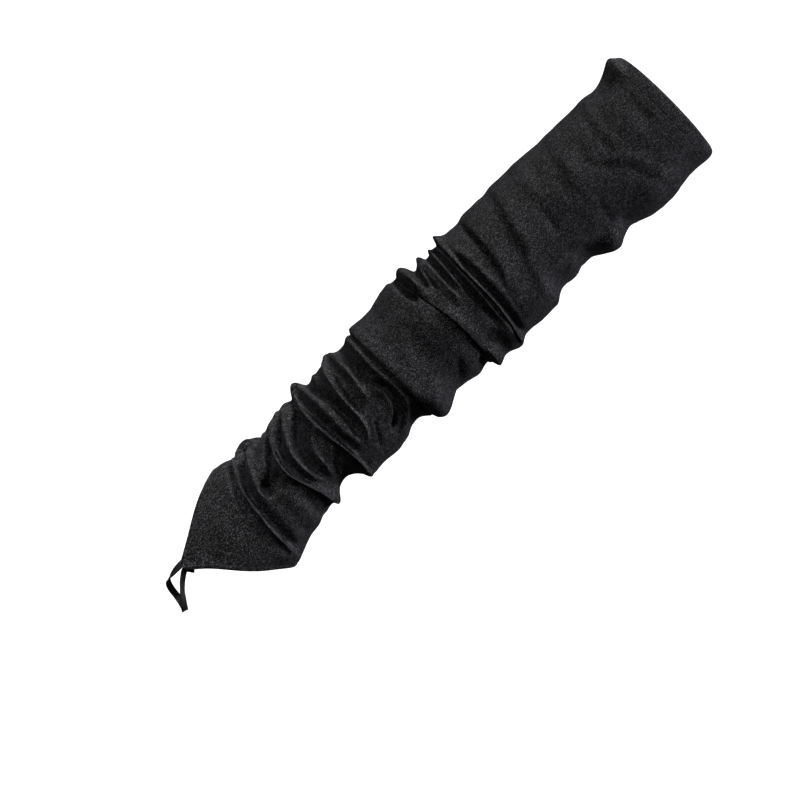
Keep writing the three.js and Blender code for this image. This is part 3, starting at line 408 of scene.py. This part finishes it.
BACK_FOLDS = [
    ("back_armpit", 3, 12, 10, 0, 2, 0, 0, [(-37.8, 63), (0, 56.7), (37.8, 67)]),
    ("back_crease_a", -1.3, 2.4, 4, 0, 1.7, 0, 0, [(-33, 82), (-8, 79), (24, 86)]),
    ("back_crease_b", -1.2, 2, 3.4, 0, 1.7, 0, 0, [(-20, 38), (6, 44), (34, 40)]),
    ("back_upper", 3.2, 11, 7, 0.6, 2, 0, 0, [(-37.8, 109), (0, 103), (37.8, 111)]),
    ("back_crease_c", -1.8, 1.8, 3.4, 0, 1.6, 0, 0, [(-36, 119), (-6, 115), (34, 122)]),
    ("back_slant", 1.8, 5, 3, 0.5, 2, 0, 0, [(-36, 133), (4, 129), (36, 136)]),
    ("inner_elbow_a", 4, 4, 3, 1, 2, 0, 0, [(-36, 147), (0, 151), (36, 147)]),
    ("inner_elbow_b", -3, 2, 2.4, 0, 1.6, 0, 0, [(-36, 154.5), (0, 158.5), (36, 156)]),
    ("inner_elbow_c", 3.6, 3, 2.4, 0.8, 2, 0, 0, [(-36, 164), (0, 167), (36, 165)]),
    ("inner_elbow_d", -3, 1.8, 2.4, 0, 1.6, 0, 0, [(-35, 170), (2, 173), (36, 171)]),
    ("inner_elbow_e", 2.6, 3, 3, 0.4, 2, 0, 0, [(-35, 178), (6, 181), (36, 178)]),
    ("inner_elbow_f", -1.8, 2, 3, 0, 1.7, 0, 0, [(-30, 198), (0, 194), (36, 196)]),
    ("under_cuff", 3, 9, 6, 0.6, 2, 0, 0, [(-36, 218), (0, 214), (36, 220)]),
    ("under_cuff_dip", -1.4, 2, 3.4, 0, 1.7, 0, 0, [(-30, 227), (4, 224), (34, 230)]),
    ("under_cuff_lip", 2.4, 5, 2, 0.8, 2, 0, 0, [(-34, 244), (0, 240), (34, 241)]),
    ("under_fold_a", 3.6, 3.2, 2.2, 0.8, 2, 0, 0, [(-32, 258), (0, 254), (30, 260)]),
    ("under_fold_b", -3.2, 2, 2, 0, 1.6, 0, 0, [(-30, 264), (0, 261), (30, 266)]),
    ("under_fold_c", 3.8, 2.6, 2.2, 0.8, 2, 0, 0, [(-30, 274), (0, 270), (31, 277)]),
    ("under_fold_d", -3, 1.8, 2, 0, 1.6, 0, 0, [(-30, 280), (0, 277), (30, 284)]),
    ("under_fold_e", 3, 2.4, 2.2, 0.6, 2, 0, 0, [(-30, 290), (2, 286), (30, 293)]),
    ("under_fold_f", -2.8, 1.8, 2, 0, 1.6, 0, 0, [(-30, 299), (0, 295), (28, 303)]),
    ("under_fold_g", 3.8, 2.8, 2.2, 0.9, 2, 0, 0, [(-30, 307), (0, 303), (26, 310)]),
    ("under_fold_h", -2.8, 1.8, 2.2, 0, 1.6, 0, 0, [(-29, 314), (0, 310), (27, 317)]),
    ("under_wrist", 3.8, 2.8, 2.2, 0.8, 2, 0, 0, [(-29, 329), (0, 325), (30, 330)]),
    ("under_wrist_dip", -2.4, 1.8, 2.4, 0, 1.6, 0, 0, [(-29, 335), (0, 331), (30, 337)]),
    ("under_heel", 1.8, 3, 3, 0.4, 2, 0, 0, [(-29, 342), (0, 339), (32, 344)]),
]
FRONT, BACK = False, True
NAME, RISE, ABOVE, BELOW, HANG, POWER, GO_LEFT, GO_RIGHT, PATH = range(9)

# Each fold's line has this many steps between two points, fades over this share of it at both ends,
# and lifts no cloth further off than this many of its widths.
PATH_STEPS = 6
FOLD_FADE = 0.18
FADED = 2.6

# Round the sides, folds run together: they grow wider, hang less and their creases close up.
SIDE_FROM = 0.78
SIDE_WIDER = 0.35
SIDE_HANG = 0.5
SIDE_CREASE = 0.7


def hermite(t, start, leaving, end, arriving):
    """A smooth way from one value to the next, with the slope given at both."""
    t2, t3 = t * t, t * t * t
    from_start = (2 * t3 - 3 * t2 + 1) * start + (t3 - 2 * t2 + t) * leaving
    return from_start + (3 * t2 - 2 * t3) * end + (t3 - t2) * arriving


def smooth(t):
    return t * t * (3 - 2 * t)


def bend(value, power):
    """A power that keeps the value's sign."""
    return np.sign(value) * np.abs(value) ** power


def between(column, at):
    """Reads a column of SECTIONS at shares of the length, on a smooth curve through its rows."""
    places = SECTIONS[:, AT]
    values = SECTIONS[:, column]
    last = len(places) - 1
    before = np.maximum(np.arange(last + 1) - 1, 0)
    after = np.minimum(np.arange(last + 1) + 1, last)
    slopes = (values[after] - values[before]) / (places[after] - places[before])
    i = np.clip(np.searchsorted(places, at) - 1, 0, last - 1)
    step = places[i + 1] - places[i]
    t = np.clip((at - places[i]) / step, 0, 1)
    return hermite(t, values[i], slopes[i] * step, values[i + 1], slopes[i + 1] * step)


def section_at(at):
    """The plain section's middle, half width, half depth, set-back and the power that rounds it."""
    left = between(LEFT, at) * HALF_WIDTH
    right = between(RIGHT, at) * HALF_WIDTH
    half_depth = between(DEEP, at) * ARM_DEPTH / 2
    back = between(SET, at) * ARM_DEPTH
    return (right - left) / 2, (right + left) / 2, half_depth, back, 2 / between(FULL, at)


def plain_point(at, turn):
    """A point of the plain section, which has no folds."""
    middle, half, half_depth, back, power = section_at(at)
    angle = turn * math.pi / 2
    x = middle + half * bend(np.sin(angle), power)
    y = back - half_depth * bend(np.cos(angle), power)
    return np.stack([x, y, -at * SLEEVE_LENGTH + 0 * x], axis=-1)


def turn_of(across, at, side):
    """The turn at which the front or the back lies so far across."""
    middle, half, _, _, power = section_at(np.asarray(at, float))
    share = np.clip((across - middle) / half, -1, 1)
    turn = np.arcsin(bend(share, 1 / power)) * 2 / math.pi
    return 2 - turn if side == BACK else turn


def curve_through(points, steps):
    """A centripetal curve through the points, with that many even steps between two of them."""
    points = np.array(points, float)
    p = np.concatenate([[2 * points[0] - points[1]], points, [2 * points[-1] - points[-2]]])
    d = np.linalg.norm(np.diff(p, axis=0), axis=1) ** 0.5
    t = (np.arange(steps) / steps)[:, None]
    result = []
    for i in range(len(points) - 1):
        a, b, c, e = p[i : i + 4]
        d0, d1, d2 = d[i : i + 3]
        out = ((b - a) / d0 - (c - a) / (d0 + d1) + (c - b) / d1) * d1
        into = ((c - b) / d1 - (e - b) / (d1 + d2) + (e - c) / d2) * d1
        result.append(hermite(t, b, out, c, into))
    return np.concatenate(result + [points[-1:]])


def lengths_along(line):
    return np.concatenate([[0], np.cumsum(np.linalg.norm(np.diff(line, axis=0), axis=1))])


def line_of(fold, side):
    """A fold's line in the unrolled cloth: how far round and how far down, in millimetres."""
    rows = [[float(turn_of(across, down / SLEEVE_LENGTH, side)), down] for across, down in fold[PATH]]
    if side == BACK:
        rows.reverse()
    if fold[GO_LEFT]:
        rows.insert(0, [rows[0][0] - fold[GO_LEFT], rows[0][1]])
    if fold[GO_RIGHT]:
        rows.append([rows[-1][0] + fold[GO_RIGHT], rows[-1][1]])
    return curve_through([(turn * QUARTER_GIRTH, down) for turn, down in rows], PATH_STEPS)


LINES = {fold[NAME]: line_of(fold, FRONT) for fold in FRONT_FOLDS}
LINES |= {fold[NAME]: line_of(fold, BACK) for fold in BACK_FOLDS}


def nearest(line, x, s):
    """How far off a line each place lies, above zero on the hand's side, and how far along it."""
    size = np.full(x.shape, np.inf)
    off = np.zeros(x.shape)
    along = np.zeros(x.shape)
    for i in range(len(line) - 1):
        dx, ds = line[i + 1] - line[i]
        px, ps = x - line[i, 0], s - line[i, 1]
        t = np.clip((px * dx + ps * ds) / (dx * dx + ds * ds), 0, 1)
        away = np.hypot(px - t * dx, ps - t * ds)
        nearer = away < size
        size = np.where(nearer, away, size)
        off = np.where(nearer, np.where(dx * ps - ds * px < 0, -away, away), off)
        along = np.where(nearer, (i + t) / (len(line) - 1), along)
    return off, along


def folds_at(at, turn):
    """How far all folds lift the cloth at each place, and how far they drag it down."""
    shape = np.broadcast(at, turn).shape
    down = np.broadcast_to(at * SLEEVE_LENGTH, shape).ravel()
    turns = np.broadcast_to(turn, shape).ravel()
    lift = np.zeros(down.size)
    drag = np.zeros(down.size)
    sides = smooth(np.clip((np.abs(np.sin(turns * math.pi / 2)) - SIDE_FROM) / (1 - SIDE_FROM), 0, 1))
    for fold in FRONT_FOLDS + BACK_FOLDS:
        line = LINES[fold[NAME]]
        x_middle = (line[0, 0] + line[-1, 0]) / 2
        x = x_middle + (turns * QUARTER_GIRTH - x_middle + GIRTH / 2) % GIRTH - GIRTH / 2
        reach = FADED * max(fold[ABOVE], fold[BELOW])
        near = (down > line[:, 1].min() - reach) & (down < line[:, 1].max() + reach)
        near &= (x > line[:, 0].min() - reach) & (x < line[:, 0].max() + reach)
        if not near.any():
            continue
        off, along = nearest(line, x[near], down[near])
        weight = smooth(np.clip(np.minimum(along, 1 - along) / FOLD_FADE, 0, 1))
        side = sides[near]
        spread = np.where(off < 0, fold[ABOVE], fold[BELOW]) * (1 + SIDE_WIDER * side)
        rise = fold[RISE] * (1 if fold[RISE] > 0 else 1 - (1 - SIDE_CREASE) * side)
        lift[near] += rise * weight * np.exp(-np.abs(off / spread) ** fold[POWER])
        if fold[HANG]:
            droop = fold[HANG] * (1 - (1 - SIDE_HANG) * side)
            drag[near] += droop * weight * np.exp(-((off / spread) ** 2))
    return lift.reshape(shape), drag.reshape(shape)


def ripple(turn, down):
    """Small waves that lie mostly across the sleeve, and match where the cloth closes round."""
    result = np.zeros(turn.shape)
    angle = turn * math.pi / 2
    x, y = np.sin(angle) * MEAN_RADIUS, np.cos(angle) * MEAN_RADIUS
    for number, (round_size, down_size, height) in enumerate(RIPPLES):
        for index in np.ndindex(turn.shape):
            z = down[index] / down_size + RIPPLE_APART * number
            result[index] += height * noise.noise(Vector((x[index] / round_size, y[index] / round_size, z)))
    return result


def outward(at, turn):
    """The level direction straight out of the plain section."""
    side = plain_point(at, turn + TURN_STEP) - plain_point(at, turn - TURN_STEP)
    out = np.stack([side[..., 1], -side[..., 0], 0 * side[..., 0]], axis=-1)
    return out / np.linalg.norm(out, axis=-1, keepdims=True)


def lifted(at, turn, lift):
    """The plain section's points, moved straight out."""
    return plain_point(at, turn) + outward(at, turn) * lift[..., None]


def cloth_point(at, turn):
    """The sleeve's outer face, without its small waves."""
    lift, drag = folds_at(at, turn)
    return lifted(np.clip(at + drag / SLEEVE_LENGTH, 0, 1), turn, lift)


POINT_TURN = float(turn_of(POINT_OFFSET, 1, FRONT))
TURNS = POINT_TURN + FULL_TURN * np.arange(COLUMNS) / COLUMNS


def plain_edge_at(turn):
    """Where the hand opening's edge would lie if it ran to a sharp point, as a share of the length."""
    turn = np.asarray(turn, float)
    towards_right = (1 + np.sin(turn * math.pi / 2)) / 2
    deep = POINT_DEPTH + (POINT_DEPTH_RIGHT - POINT_DEPTH) * towards_right
    cosine = np.cos(turn * math.pi / 2)
    palm = 1 - (deep + PALM_RISE * cosine**2) / SLEEVE_LENGTH
    across = plain_point(1, turn)[..., 0] - POINT_OFFSET
    side = np.where(across < 0, plain_point(1, -1)[0], plain_point(1, 1)[0]) - POINT_OFFSET
    share = np.clip(across / side, 0, 1)
    depth = POINT_STRAIGHT * share + (1 - POINT_STRAIGHT) * share**POINT_BOW
    return np.where(cosine <= 0, palm, 1 - deep * depth / SLEEVE_LENGTH)


def slant_at(turn):
    """How much longer a band of even width is along the sleeve where its edge slants."""
    step = FULL_TURN / COLUMNS * SLANT_COLUMNS

    def away(sign):
        at = plain_edge_at(turn)
        beside = turn + sign * step
        rise = (plain_edge_at(beside) - at) * SLEEVE_LENGTH
        run = np.linalg.norm(plain_point(at, beside) - plain_point(at, turn), axis=-1)
        return np.hypot(rise, run) / run

    return (away(-1) + away(1)) / 2


def edge_at(turn):
    """The hand opening's edge: the point is blunt, and reaches lower where the ribbon is sewn in."""
    across = plain_point(1, turn)[..., 0] - POINT_OFFSET
    drop = TIP_DROP * np.exp(-((across / TIP_REACH) ** 2)) * (np.cos(turn * math.pi / 2) > 0)
    return plain_edge_at(turn) + drop / SLEEVE_LENGTH


def hem_top_at(turn):
    return edge_at(turn) - HAND_HEM * slant_at(turn) / SLEEVE_LENGTH


EDGE = edge_at(TURNS)
HEM_TOP = hem_top_at(TURNS)


def guide_at(name):
    """The share of the length at which a fold's line crosses each column."""
    line = LINES[name]
    x = line[0, 0] + (TURNS * QUARTER_GIRTH - line[0, 0]) % GIRTH
    xs = np.append(line[:, 0], line[0, 0] + GIRTH)
    ss = np.append(line[:, 1], line[0, 1])
    return np.minimum(np.interp(x, xs, ss) / SLEEVE_LENGTH, HEM_TOP - PANEL_LEAST / SLEEVE_LENGTH)


def sleeve_rows():
    """The share of the length at which each row of points crosses each column."""
    start = np.full(COLUMNS, (ARM_HEM + SEAM_GAP) / SLEEVE_LENGTH)
    guides = [(np.full(COLUMNS, FIRST_GUIDE), FIRST_ROWS)]
    guides += [(guide_at(name), count) for name, count in GUIDES]
    guides.append((HEM_TOP - SEAM_GAP * slant_at(TURNS) / SLEEVE_LENGTH, PANEL_ROWS))
    rows = [start]
    for place, count in guides:
        for i in range(1, count + 1):
            share = i / count
            share -= CROWDING * math.sin(2 * math.pi * share) / (2 * math.pi)
            rows.append(start + (place - start) * share)
        start = place
    return np.array(rows)


def add_mesh(name, points, faces, lay=None, rounded=True):
    """A mesh of points in metres. "lay" gives each face corner its place on the cloth."""
    mesh = bpy.data.meshes.new(name)
    mesh.from_pydata(np.array(points).tolist(), [], faces)
    if lay is not None:
        mesh.uv_layers.new(name="weave").data.foreach_set("uv", np.ravel(lay))
    mesh.polygons.foreach_set("use_smooth", np.full(len(faces), rounded))
    mesh.validate()
    mesh.update()
    thing = bpy.data.objects.new(name, mesh)
    bpy.context.scene.collection.objects.link(thing)
    return thing


def ring_mesh(name, loop, lay, flat_rows=()):
    """A mesh from rows of points that close round. "lay" gives each point its place on the cloth,
    in metres round and down, for the weave, and the faces of "flat_rows" have sharp edges."""
    count, columns = loop.shape[:2]
    i, k = np.meshgrid(np.arange(count), np.arange(columns), indexing="ij")
    i2, k2 = (i + 1) % count, (k + 1) % columns
    faces = np.stack([i * columns + k, i2 * columns + k, i2 * columns + k2, i * columns + k2], axis=-1)
    u, v = lay[..., 0], lay[..., 1]
    step = GIRTH * MM / columns
    u_next = np.where(k2 == 0, u[i, k] + step, u[i, k2])
    u_next2 = np.where(k2 == 0, u[i2, k] + step, u[i2, k2])
    corner_u = np.stack([u[i, k], u[i2, k], u_next2, u_next], axis=-1)
    corner_v = np.stack([v[i, k], v[i2, k], v[i2, k2], v[i, k2]], axis=-1)
    corners = np.stack([corner_u, corner_v], axis=-1)
    rounded = np.ones((count, columns), bool)
    rounded[list(flat_rows)] = False
    points = (loop * MM).reshape(-1, 3)
    return add_mesh(name, points, faces.reshape(-1, 4).tolist(), corners, rounded.ravel())


def sleeve():
    rows = sleeve_rows()
    turns = np.broadcast_to(TURNS, rows.shape)
    down = rows * SLEEVE_LENGTH
    calm = np.minimum(down - down[0], down[-1] - down) / LEVEL_REACH
    waves = ripple(turns, down) * smooth(np.clip(calm, 0, 1))
    lift, drag = folds_at(rows, turns)
    lift = lift + waves
    outer = lifted(np.clip(rows + drag / SLEEVE_LENGTH, 0, 1), turns, lift)

    # The inner face has fewer rows, and lies below all of the outer face round about it.
    lowest = lift
    for _ in range(INNER_STEP):
        above = np.concatenate([lowest[:1], lowest[:-1]])
        below = np.concatenate([lowest[1:], lowest[-1:]])
        lowest = np.minimum(lowest, np.minimum(above, below))
    lowest = np.minimum(lowest, np.minimum(np.roll(lowest, 1, axis=1), np.roll(lowest, -1, axis=1)))
    kept = list(range(0, len(rows) - 1, INNER_STEP)) + [len(rows) - 1]
    inner = lifted(rows[kept], turns[kept], lowest[kept] - CLOTH)
    lay = np.stack([turns * QUARTER_GIRTH * MM, down * MM], axis=-1)
    loop = np.concatenate([outer, inner[::-1]])
    ends = (len(outer) - 1, len(loop) - 1)
    return ring_mesh("satin_sleeve", loop, np.concatenate([lay, lay[kept][::-1]]), ends)


def hem(name, out, rows):
    """A hem from rows of (share of the length, how far in, how far along the sleeve)."""
    loop = [cloth_point(at, TURNS) - out * inward for at, inward, _ in rows]
    lay = [
        np.stack([TURNS * QUARTER_GIRTH * MM, np.full(COLUMNS, (along + inward) * MM)], axis=-1)
        for _, inward, along in rows
    ]
    return ring_mesh(name, np.array(loop), np.array(lay))


def arm_hem():
    rows = [(np.full(COLUMNS, down / SLEEVE_LENGTH), inward, down) for inward, down in ARM_HEM_SECTION]
    return hem("turned_arm_hem", outward(0, TURNS), rows)


def hand_hem():
    rows = [(EDGE + (HEM_TOP - EDGE) * up, inward, up * HAND_HEM) for inward, up in HAND_HEM_SECTION]
    return hem("rolled_hand_hem", outward(1, TURNS), rows)


def tube_faces(rings, sides, base=0):
    """The faces of a closed tube whose points run ring by ring."""
    faces = []
    for i in range(rings - 1):
        for k in range(sides):
            a = base + i * sides + k
            b = base + i * sides + (k + 1) % sides
            faces.append((a, b, b + sides, a + sides))
    last = base + (rings - 1) * sides
    return faces + [tuple(range(base, base + sides))[::-1], tuple(range(last, last + sides))]


def stitch(line, run, middle):
    """A stitch's points, ring by ring, so far along the line."""
    start, centre, end = (
        np.array([np.interp(middle + step, run, line[:, axis]) for axis in range(3)])
        for step in (-STITCH_LENGTH / 2, 0, STITCH_LENGTH / 2)
    )
    along = end - start
    along /= np.linalg.norm(along)
    out = np.array([centre[0], centre[1], 0])
    out = out - along * np.dot(out, along)
    out /= np.linalg.norm(out)
    beside = np.cross(along, out)
    points = []
    for place, size in STITCH_SECTIONS:
        for k in range(STITCH_SIDES):
            angle = k * 2 * math.pi / STITCH_SIDES
            aside = math.cos(angle) * STITCH_HALF_WIDTH * size
            height = STITCH_PROUD * (STITCH_MIDDLE + math.sin(angle) * size * (1 - STITCH_MIDDLE))
            offset = beside * aside + out * height
            points.append((centre + along * (place * STITCH_LENGTH) + offset) * MM)
    return points


def stitches():
    """A row of short stitches on the outside of the hand hem, each one a thin closed bead."""
    samples = COLUMNS * SAMPLES_PER_COLUMN
    turns = POINT_TURN + FULL_TURN * np.arange(samples + 1) / samples
    at = edge_at(turns) + (hem_top_at(turns) - edge_at(turns)) * STITCH_ROW
    line = cloth_point(at, turns)
    run = lengths_along(line)
    count = int(run[-1] / STITCH_PITCH)
    points, faces = [], []
    for number in range(count):
        faces += tube_faces(len(STITCH_SECTIONS), STITCH_SIDES, len(points))
        points += stitch(line, run, (number + 0.5) * run[-1] / count)
    return add_mesh("hem_stitches", points, faces)


def ribbon():
    """The flat ribbon loop, which hangs from behind the point by both its ends."""
    tip = cloth_point(np.array([1.0]), np.array([POINT_TURN]))[0]
    front = tip[1] + HAND_HEM_THICK + RIBBON_GAP + RIBBON_SOLID / 2
    rows = []
    for across, deep, drop, roll in RIBBON:
        x = LOOP_OFFSET + across * LOOP_WIDTH
        rows.append((x, front + deep * LOOP_WIDTH, -SLEEVE_LENGTH - drop * LOOP_REACH, roll))
    first, last = rows[0], rows[-1]
    rows.insert(0, (*first[:2], first[2] + RIBBON_FIRST_END, first[3]))
    across, up, roll = RIBBON_LAST_END
    rows.append((last[0] + across, last[1], last[2] + up, roll))
    line = curve_through([row[:3] for row in rows], RIBBON_STEPS)
    rolls = np.interp(np.linspace(0, 1, len(line)), np.linspace(0, 1, len(rows)), [row[3] for row in rows])
    tangent = np.gradient(line, axis=0)
    tangent /= np.linalg.norm(tangent, axis=1, keepdims=True)
    out = line - np.array([LOOP_OFFSET, front + LOOP_WIDTH / 2, 0])
    out[:, 2] = 0
    out /= np.linalg.norm(out, axis=1, keepdims=True)
    flat = np.cross(tangent, out)
    flat /= np.linalg.norm(flat, axis=1, keepdims=True)
    angle = np.radians(rolls)[:, None]
    flat = flat * np.cos(angle) + np.cross(tangent, flat) * np.sin(angle)
    thin = np.cross(flat, tangent)
    section = [
        (sign * across * RIBBON_WIDTH / 2, sign * through * RIBBON_THICK)
        for sign in (1, -1)
        for across, through in RIBBON_FACE
    ]
    edges = [line + flat * across + thin * through for across, through in section]
    points = np.stack(edges, axis=1) * MM
    faces = tube_faces(len(line), len(section))
    spots = [(across * MM, run * MM) for run in lengths_along(line) for across, _ in section]
    lay = np.array([spots[corner] for face in faces for corner in face])
    return add_mesh("ribbon_loop", points.reshape(-1, 3), faces, lay)


def put(tree, target, inputs):
    """Sets a node's inputs to values, or links them to other nodes' outputs."""
    for key, value in inputs.items():
        if isinstance(value, bpy.types.NodeSocket):
            tree.links.new(value, target.inputs[key])
        else:
            target.inputs[key].default_value = value


def node(tree, kind, inputs=None, **settings):
    made = tree.nodes.new(kind)
    for key, value in settings.items():
        setattr(made, key, value)
    put(tree, made, inputs or {})
    return made


def weave_place(tree, scale):
    """Places on the cloth, counted in grains or ribs."""
    place = node(tree, "ShaderNodeTexCoord")
    return node(tree, "ShaderNodeMapping", {"Vector": place.outputs["UV"], "Scale": scale}).outputs[0]


def tone(tree, share, dark, light):
    """A colour between two others. A mix node's colours are its inputs 6 and 7 and its output 2."""
    return node(tree, "ShaderNodeMix", {"Factor": share, 6: dark, 7: light}, data_type="RGBA").outputs[2]


def bump(tree, height, strength, distance):
    inputs = {"Height": height, "Strength": strength, "Distance": distance}
    return node(tree, "ShaderNodeBump", inputs).outputs[0]


def satin(tree, black):
    """Black stretch satin: a fine speckle in the base colour, partly the weave's grain and partly
    painted glints of threads that catch the light, and a soft sheen.
    """
    place = weave_place(tree, SATIN_GRAINS)
    cells = node(tree, "ShaderNodeTexVoronoi", {"Vector": place, "Scale": 1}, voronoi_dimensions="2D")
    cell = cells.outputs["Color"]
    # Bright specks painted into the base colour: partly grain, partly painted glints
    glint_specks = node(tree, "ShaderNodeMapRange", {"Value": cell, "From Min": 0.58, "From Max": 1})
    grain = node(tree, "ShaderNodeTexNoise", {"Vector": place, "Scale": 1.1, "Detail": 2})
    return {
        "Base Color": tone(tree, glint_specks.outputs[0], black, SATIN_GLINT_SPECK),
        "Normal": bump(tree, grain.outputs[0], 0.9, 0.0005),
        "Roughness": 0.5,
        "Specular IOR Level": 0.22,
        "Sheen Weight": 0.05,
        "Sheen Roughness": 0.45,
        "Sheen Tint": SHEEN_TINT,
    }


def ribbon_weave(tree):
    """A plain ribbon, with fine ribs that run across it."""
    place = weave_place(tree, RIBBON_RIBS)
    ribs = node(tree, "ShaderNodeTexNoise", {"Vector": place, "Scale": 1, "Detail": 2})
    return {
        "Base Color": tone(tree, ribs.outputs[0], RIBBON_DARK, RIBBON_LIGHT),
        "Normal": bump(tree, ribs.outputs[0], 0.5, 0.0003),
        "Roughness": 0.6,
        "Specular IOR Level": 0.25,
        "Sheen Weight": 0.1,
    }


def thread(tree):
    """Black thread, slightly uneven in tone."""
    place = node(tree, "ShaderNodeTexCoord").outputs["Object"]
    twist = node(tree, "ShaderNodeTexNoise", {"Vector": place, "Scale": THREAD_TWISTS, "Detail": 1})
    return {"Base Color": tone(tree, twist.outputs[0], THREAD_DARK, THREAD_LIGHT), "Roughness": 0.45}


def glowing_white(tree):
    return {"Base Color": PALE, "Roughness": 0.9, "Emission Color": WHITE, "Emission Strength": 1.1}


def material(name, build, *colors):
    made = bpy.data.materials.new(name)
    made.use_nodes = True
    put(made.node_tree, made.node_tree.nodes["Principled BSDF"], build(made.node_tree, *colors))
    return made


# The pieces
pieces = {"sleeve": sleeve(), "arm_hem": arm_hem(), "hand_hem": hand_hem()}
thread_row = stitches()
pieces["finger_loop"] = ribbon()

hem_satin = material("black_satin_hem", satin, HEM_BLACK)
for label, finish, slot in [
    ("sleeve", material("black_satin", satin, SATIN_BLACK), "sleeve_satin"),
    ("arm_hem", hem_satin, "arm_hem_satin"),
    ("hand_hem", hem_satin, "hand_hem_satin"),
    ("finger_loop", material("black_ribbon", ribbon_weave), "loop_ribbon"),
]:
    piece = pieces[label]
    piece.data.materials.append(finish)
    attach(piece, "root")
    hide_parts(label)

thread_row.data.materials.append(material("black_thread", thread))
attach(thread_row, "root")


def slab(name, corners, finish):
    """A white sheet behind or below the object, which glows for the camera and lights nothing."""
    thing = add_mesh(name, corners, [(0, 1, 2, 3)])
    thing.data.materials.append(finish)
    thing.visible_diffuse = False
    thing.visible_glossy = False


def area_light(name, place, target, size, power, color=(1, 1, 1), spread=180):
    lamp = bpy.data.lights.new(name, "AREA")
    lamp.shape = "SQUARE"
    lamp.size = size
    lamp.energy = power
    lamp.color = color
    lamp.spread = math.radians(spread)
    thing = bpy.data.objects.new(name, lamp)
    thing.location = place
    thing.rotation_euler = (Vector(target) - Vector(place)).to_track_quat("-Z", "Y").to_euler()
    bpy.context.scene.collection.objects.link(thing)


# Floor and backdrop
pale = material("pale_floor", glowing_white)
near_left, near_right = (-STAGE_SIDE, FLOOR_FRONT, FLOOR_Z), (STAGE_SIDE, FLOOR_FRONT, FLOOR_Z)
far_right, far_left = (STAGE_SIDE, BACKDROP_Y, FLOOR_Z), (-STAGE_SIDE, BACKDROP_Y, FLOOR_Z)
slab("floor", [near_left, near_right, far_right, far_left], pale)
foot_left, foot_right = (-STAGE_SIDE, BACKDROP_Y, BACKDROP_FOOT), (STAGE_SIDE, BACKDROP_Y, BACKDROP_FOOT)
top_right, top_left = (STAGE_SIDE, BACKDROP_Y, BACKDROP_TOP), (-STAGE_SIDE, BACKDROP_Y, BACKDROP_TOP)
slab("backdrop", [foot_left, foot_right, top_right, top_left], pale)

# Light: two lamps beyond the arm's end graze the folds, and two weak ones fill in from the front
area_light("key", (-1.7, -0.52, 2.7), SLEEVE_MIDDLE, 1.1, 90)
area_light("side", (1.7, -0.56, 2.7), SLEEVE_MIDDLE, 1.1, 82, (0.92, 0.915, 1))
area_light("fill", (-1.3, -1.7, 0.2), CUFF_MIDDLE, 0.5, 0.2, spread=22)
area_light("hand_fill", (-1.3, -1.7, 0.2), HAND_MIDDLE, 0.2, 0.055, spread=9)

world = bpy.data.worlds.new("studio")
bpy.context.scene.world = world
world.use_nodes = True
put(world.node_tree, world.node_tree.nodes["Background"], {"Color": WHITE, "Strength": 0.02})

# Camera
camera = bpy.data.cameras.new("camera")
camera.sensor_width = CAMERA_SENSOR
camera.lens = CAMERA_LENS
viewer = bpy.data.objects.new("camera", camera)
bpy.context.scene.collection.objects.link(viewer)
turned = Matrix((CAMERA_RIGHT, CAMERA_UP, CAMERA_BACK)).transposed().to_4x4()
viewer.matrix_world = Matrix.Translation(CAMERA_PLACE) @ turned
bpy.context.scene.camera = viewer
bpy.context.scene.view_settings.view_transform = "Standard"
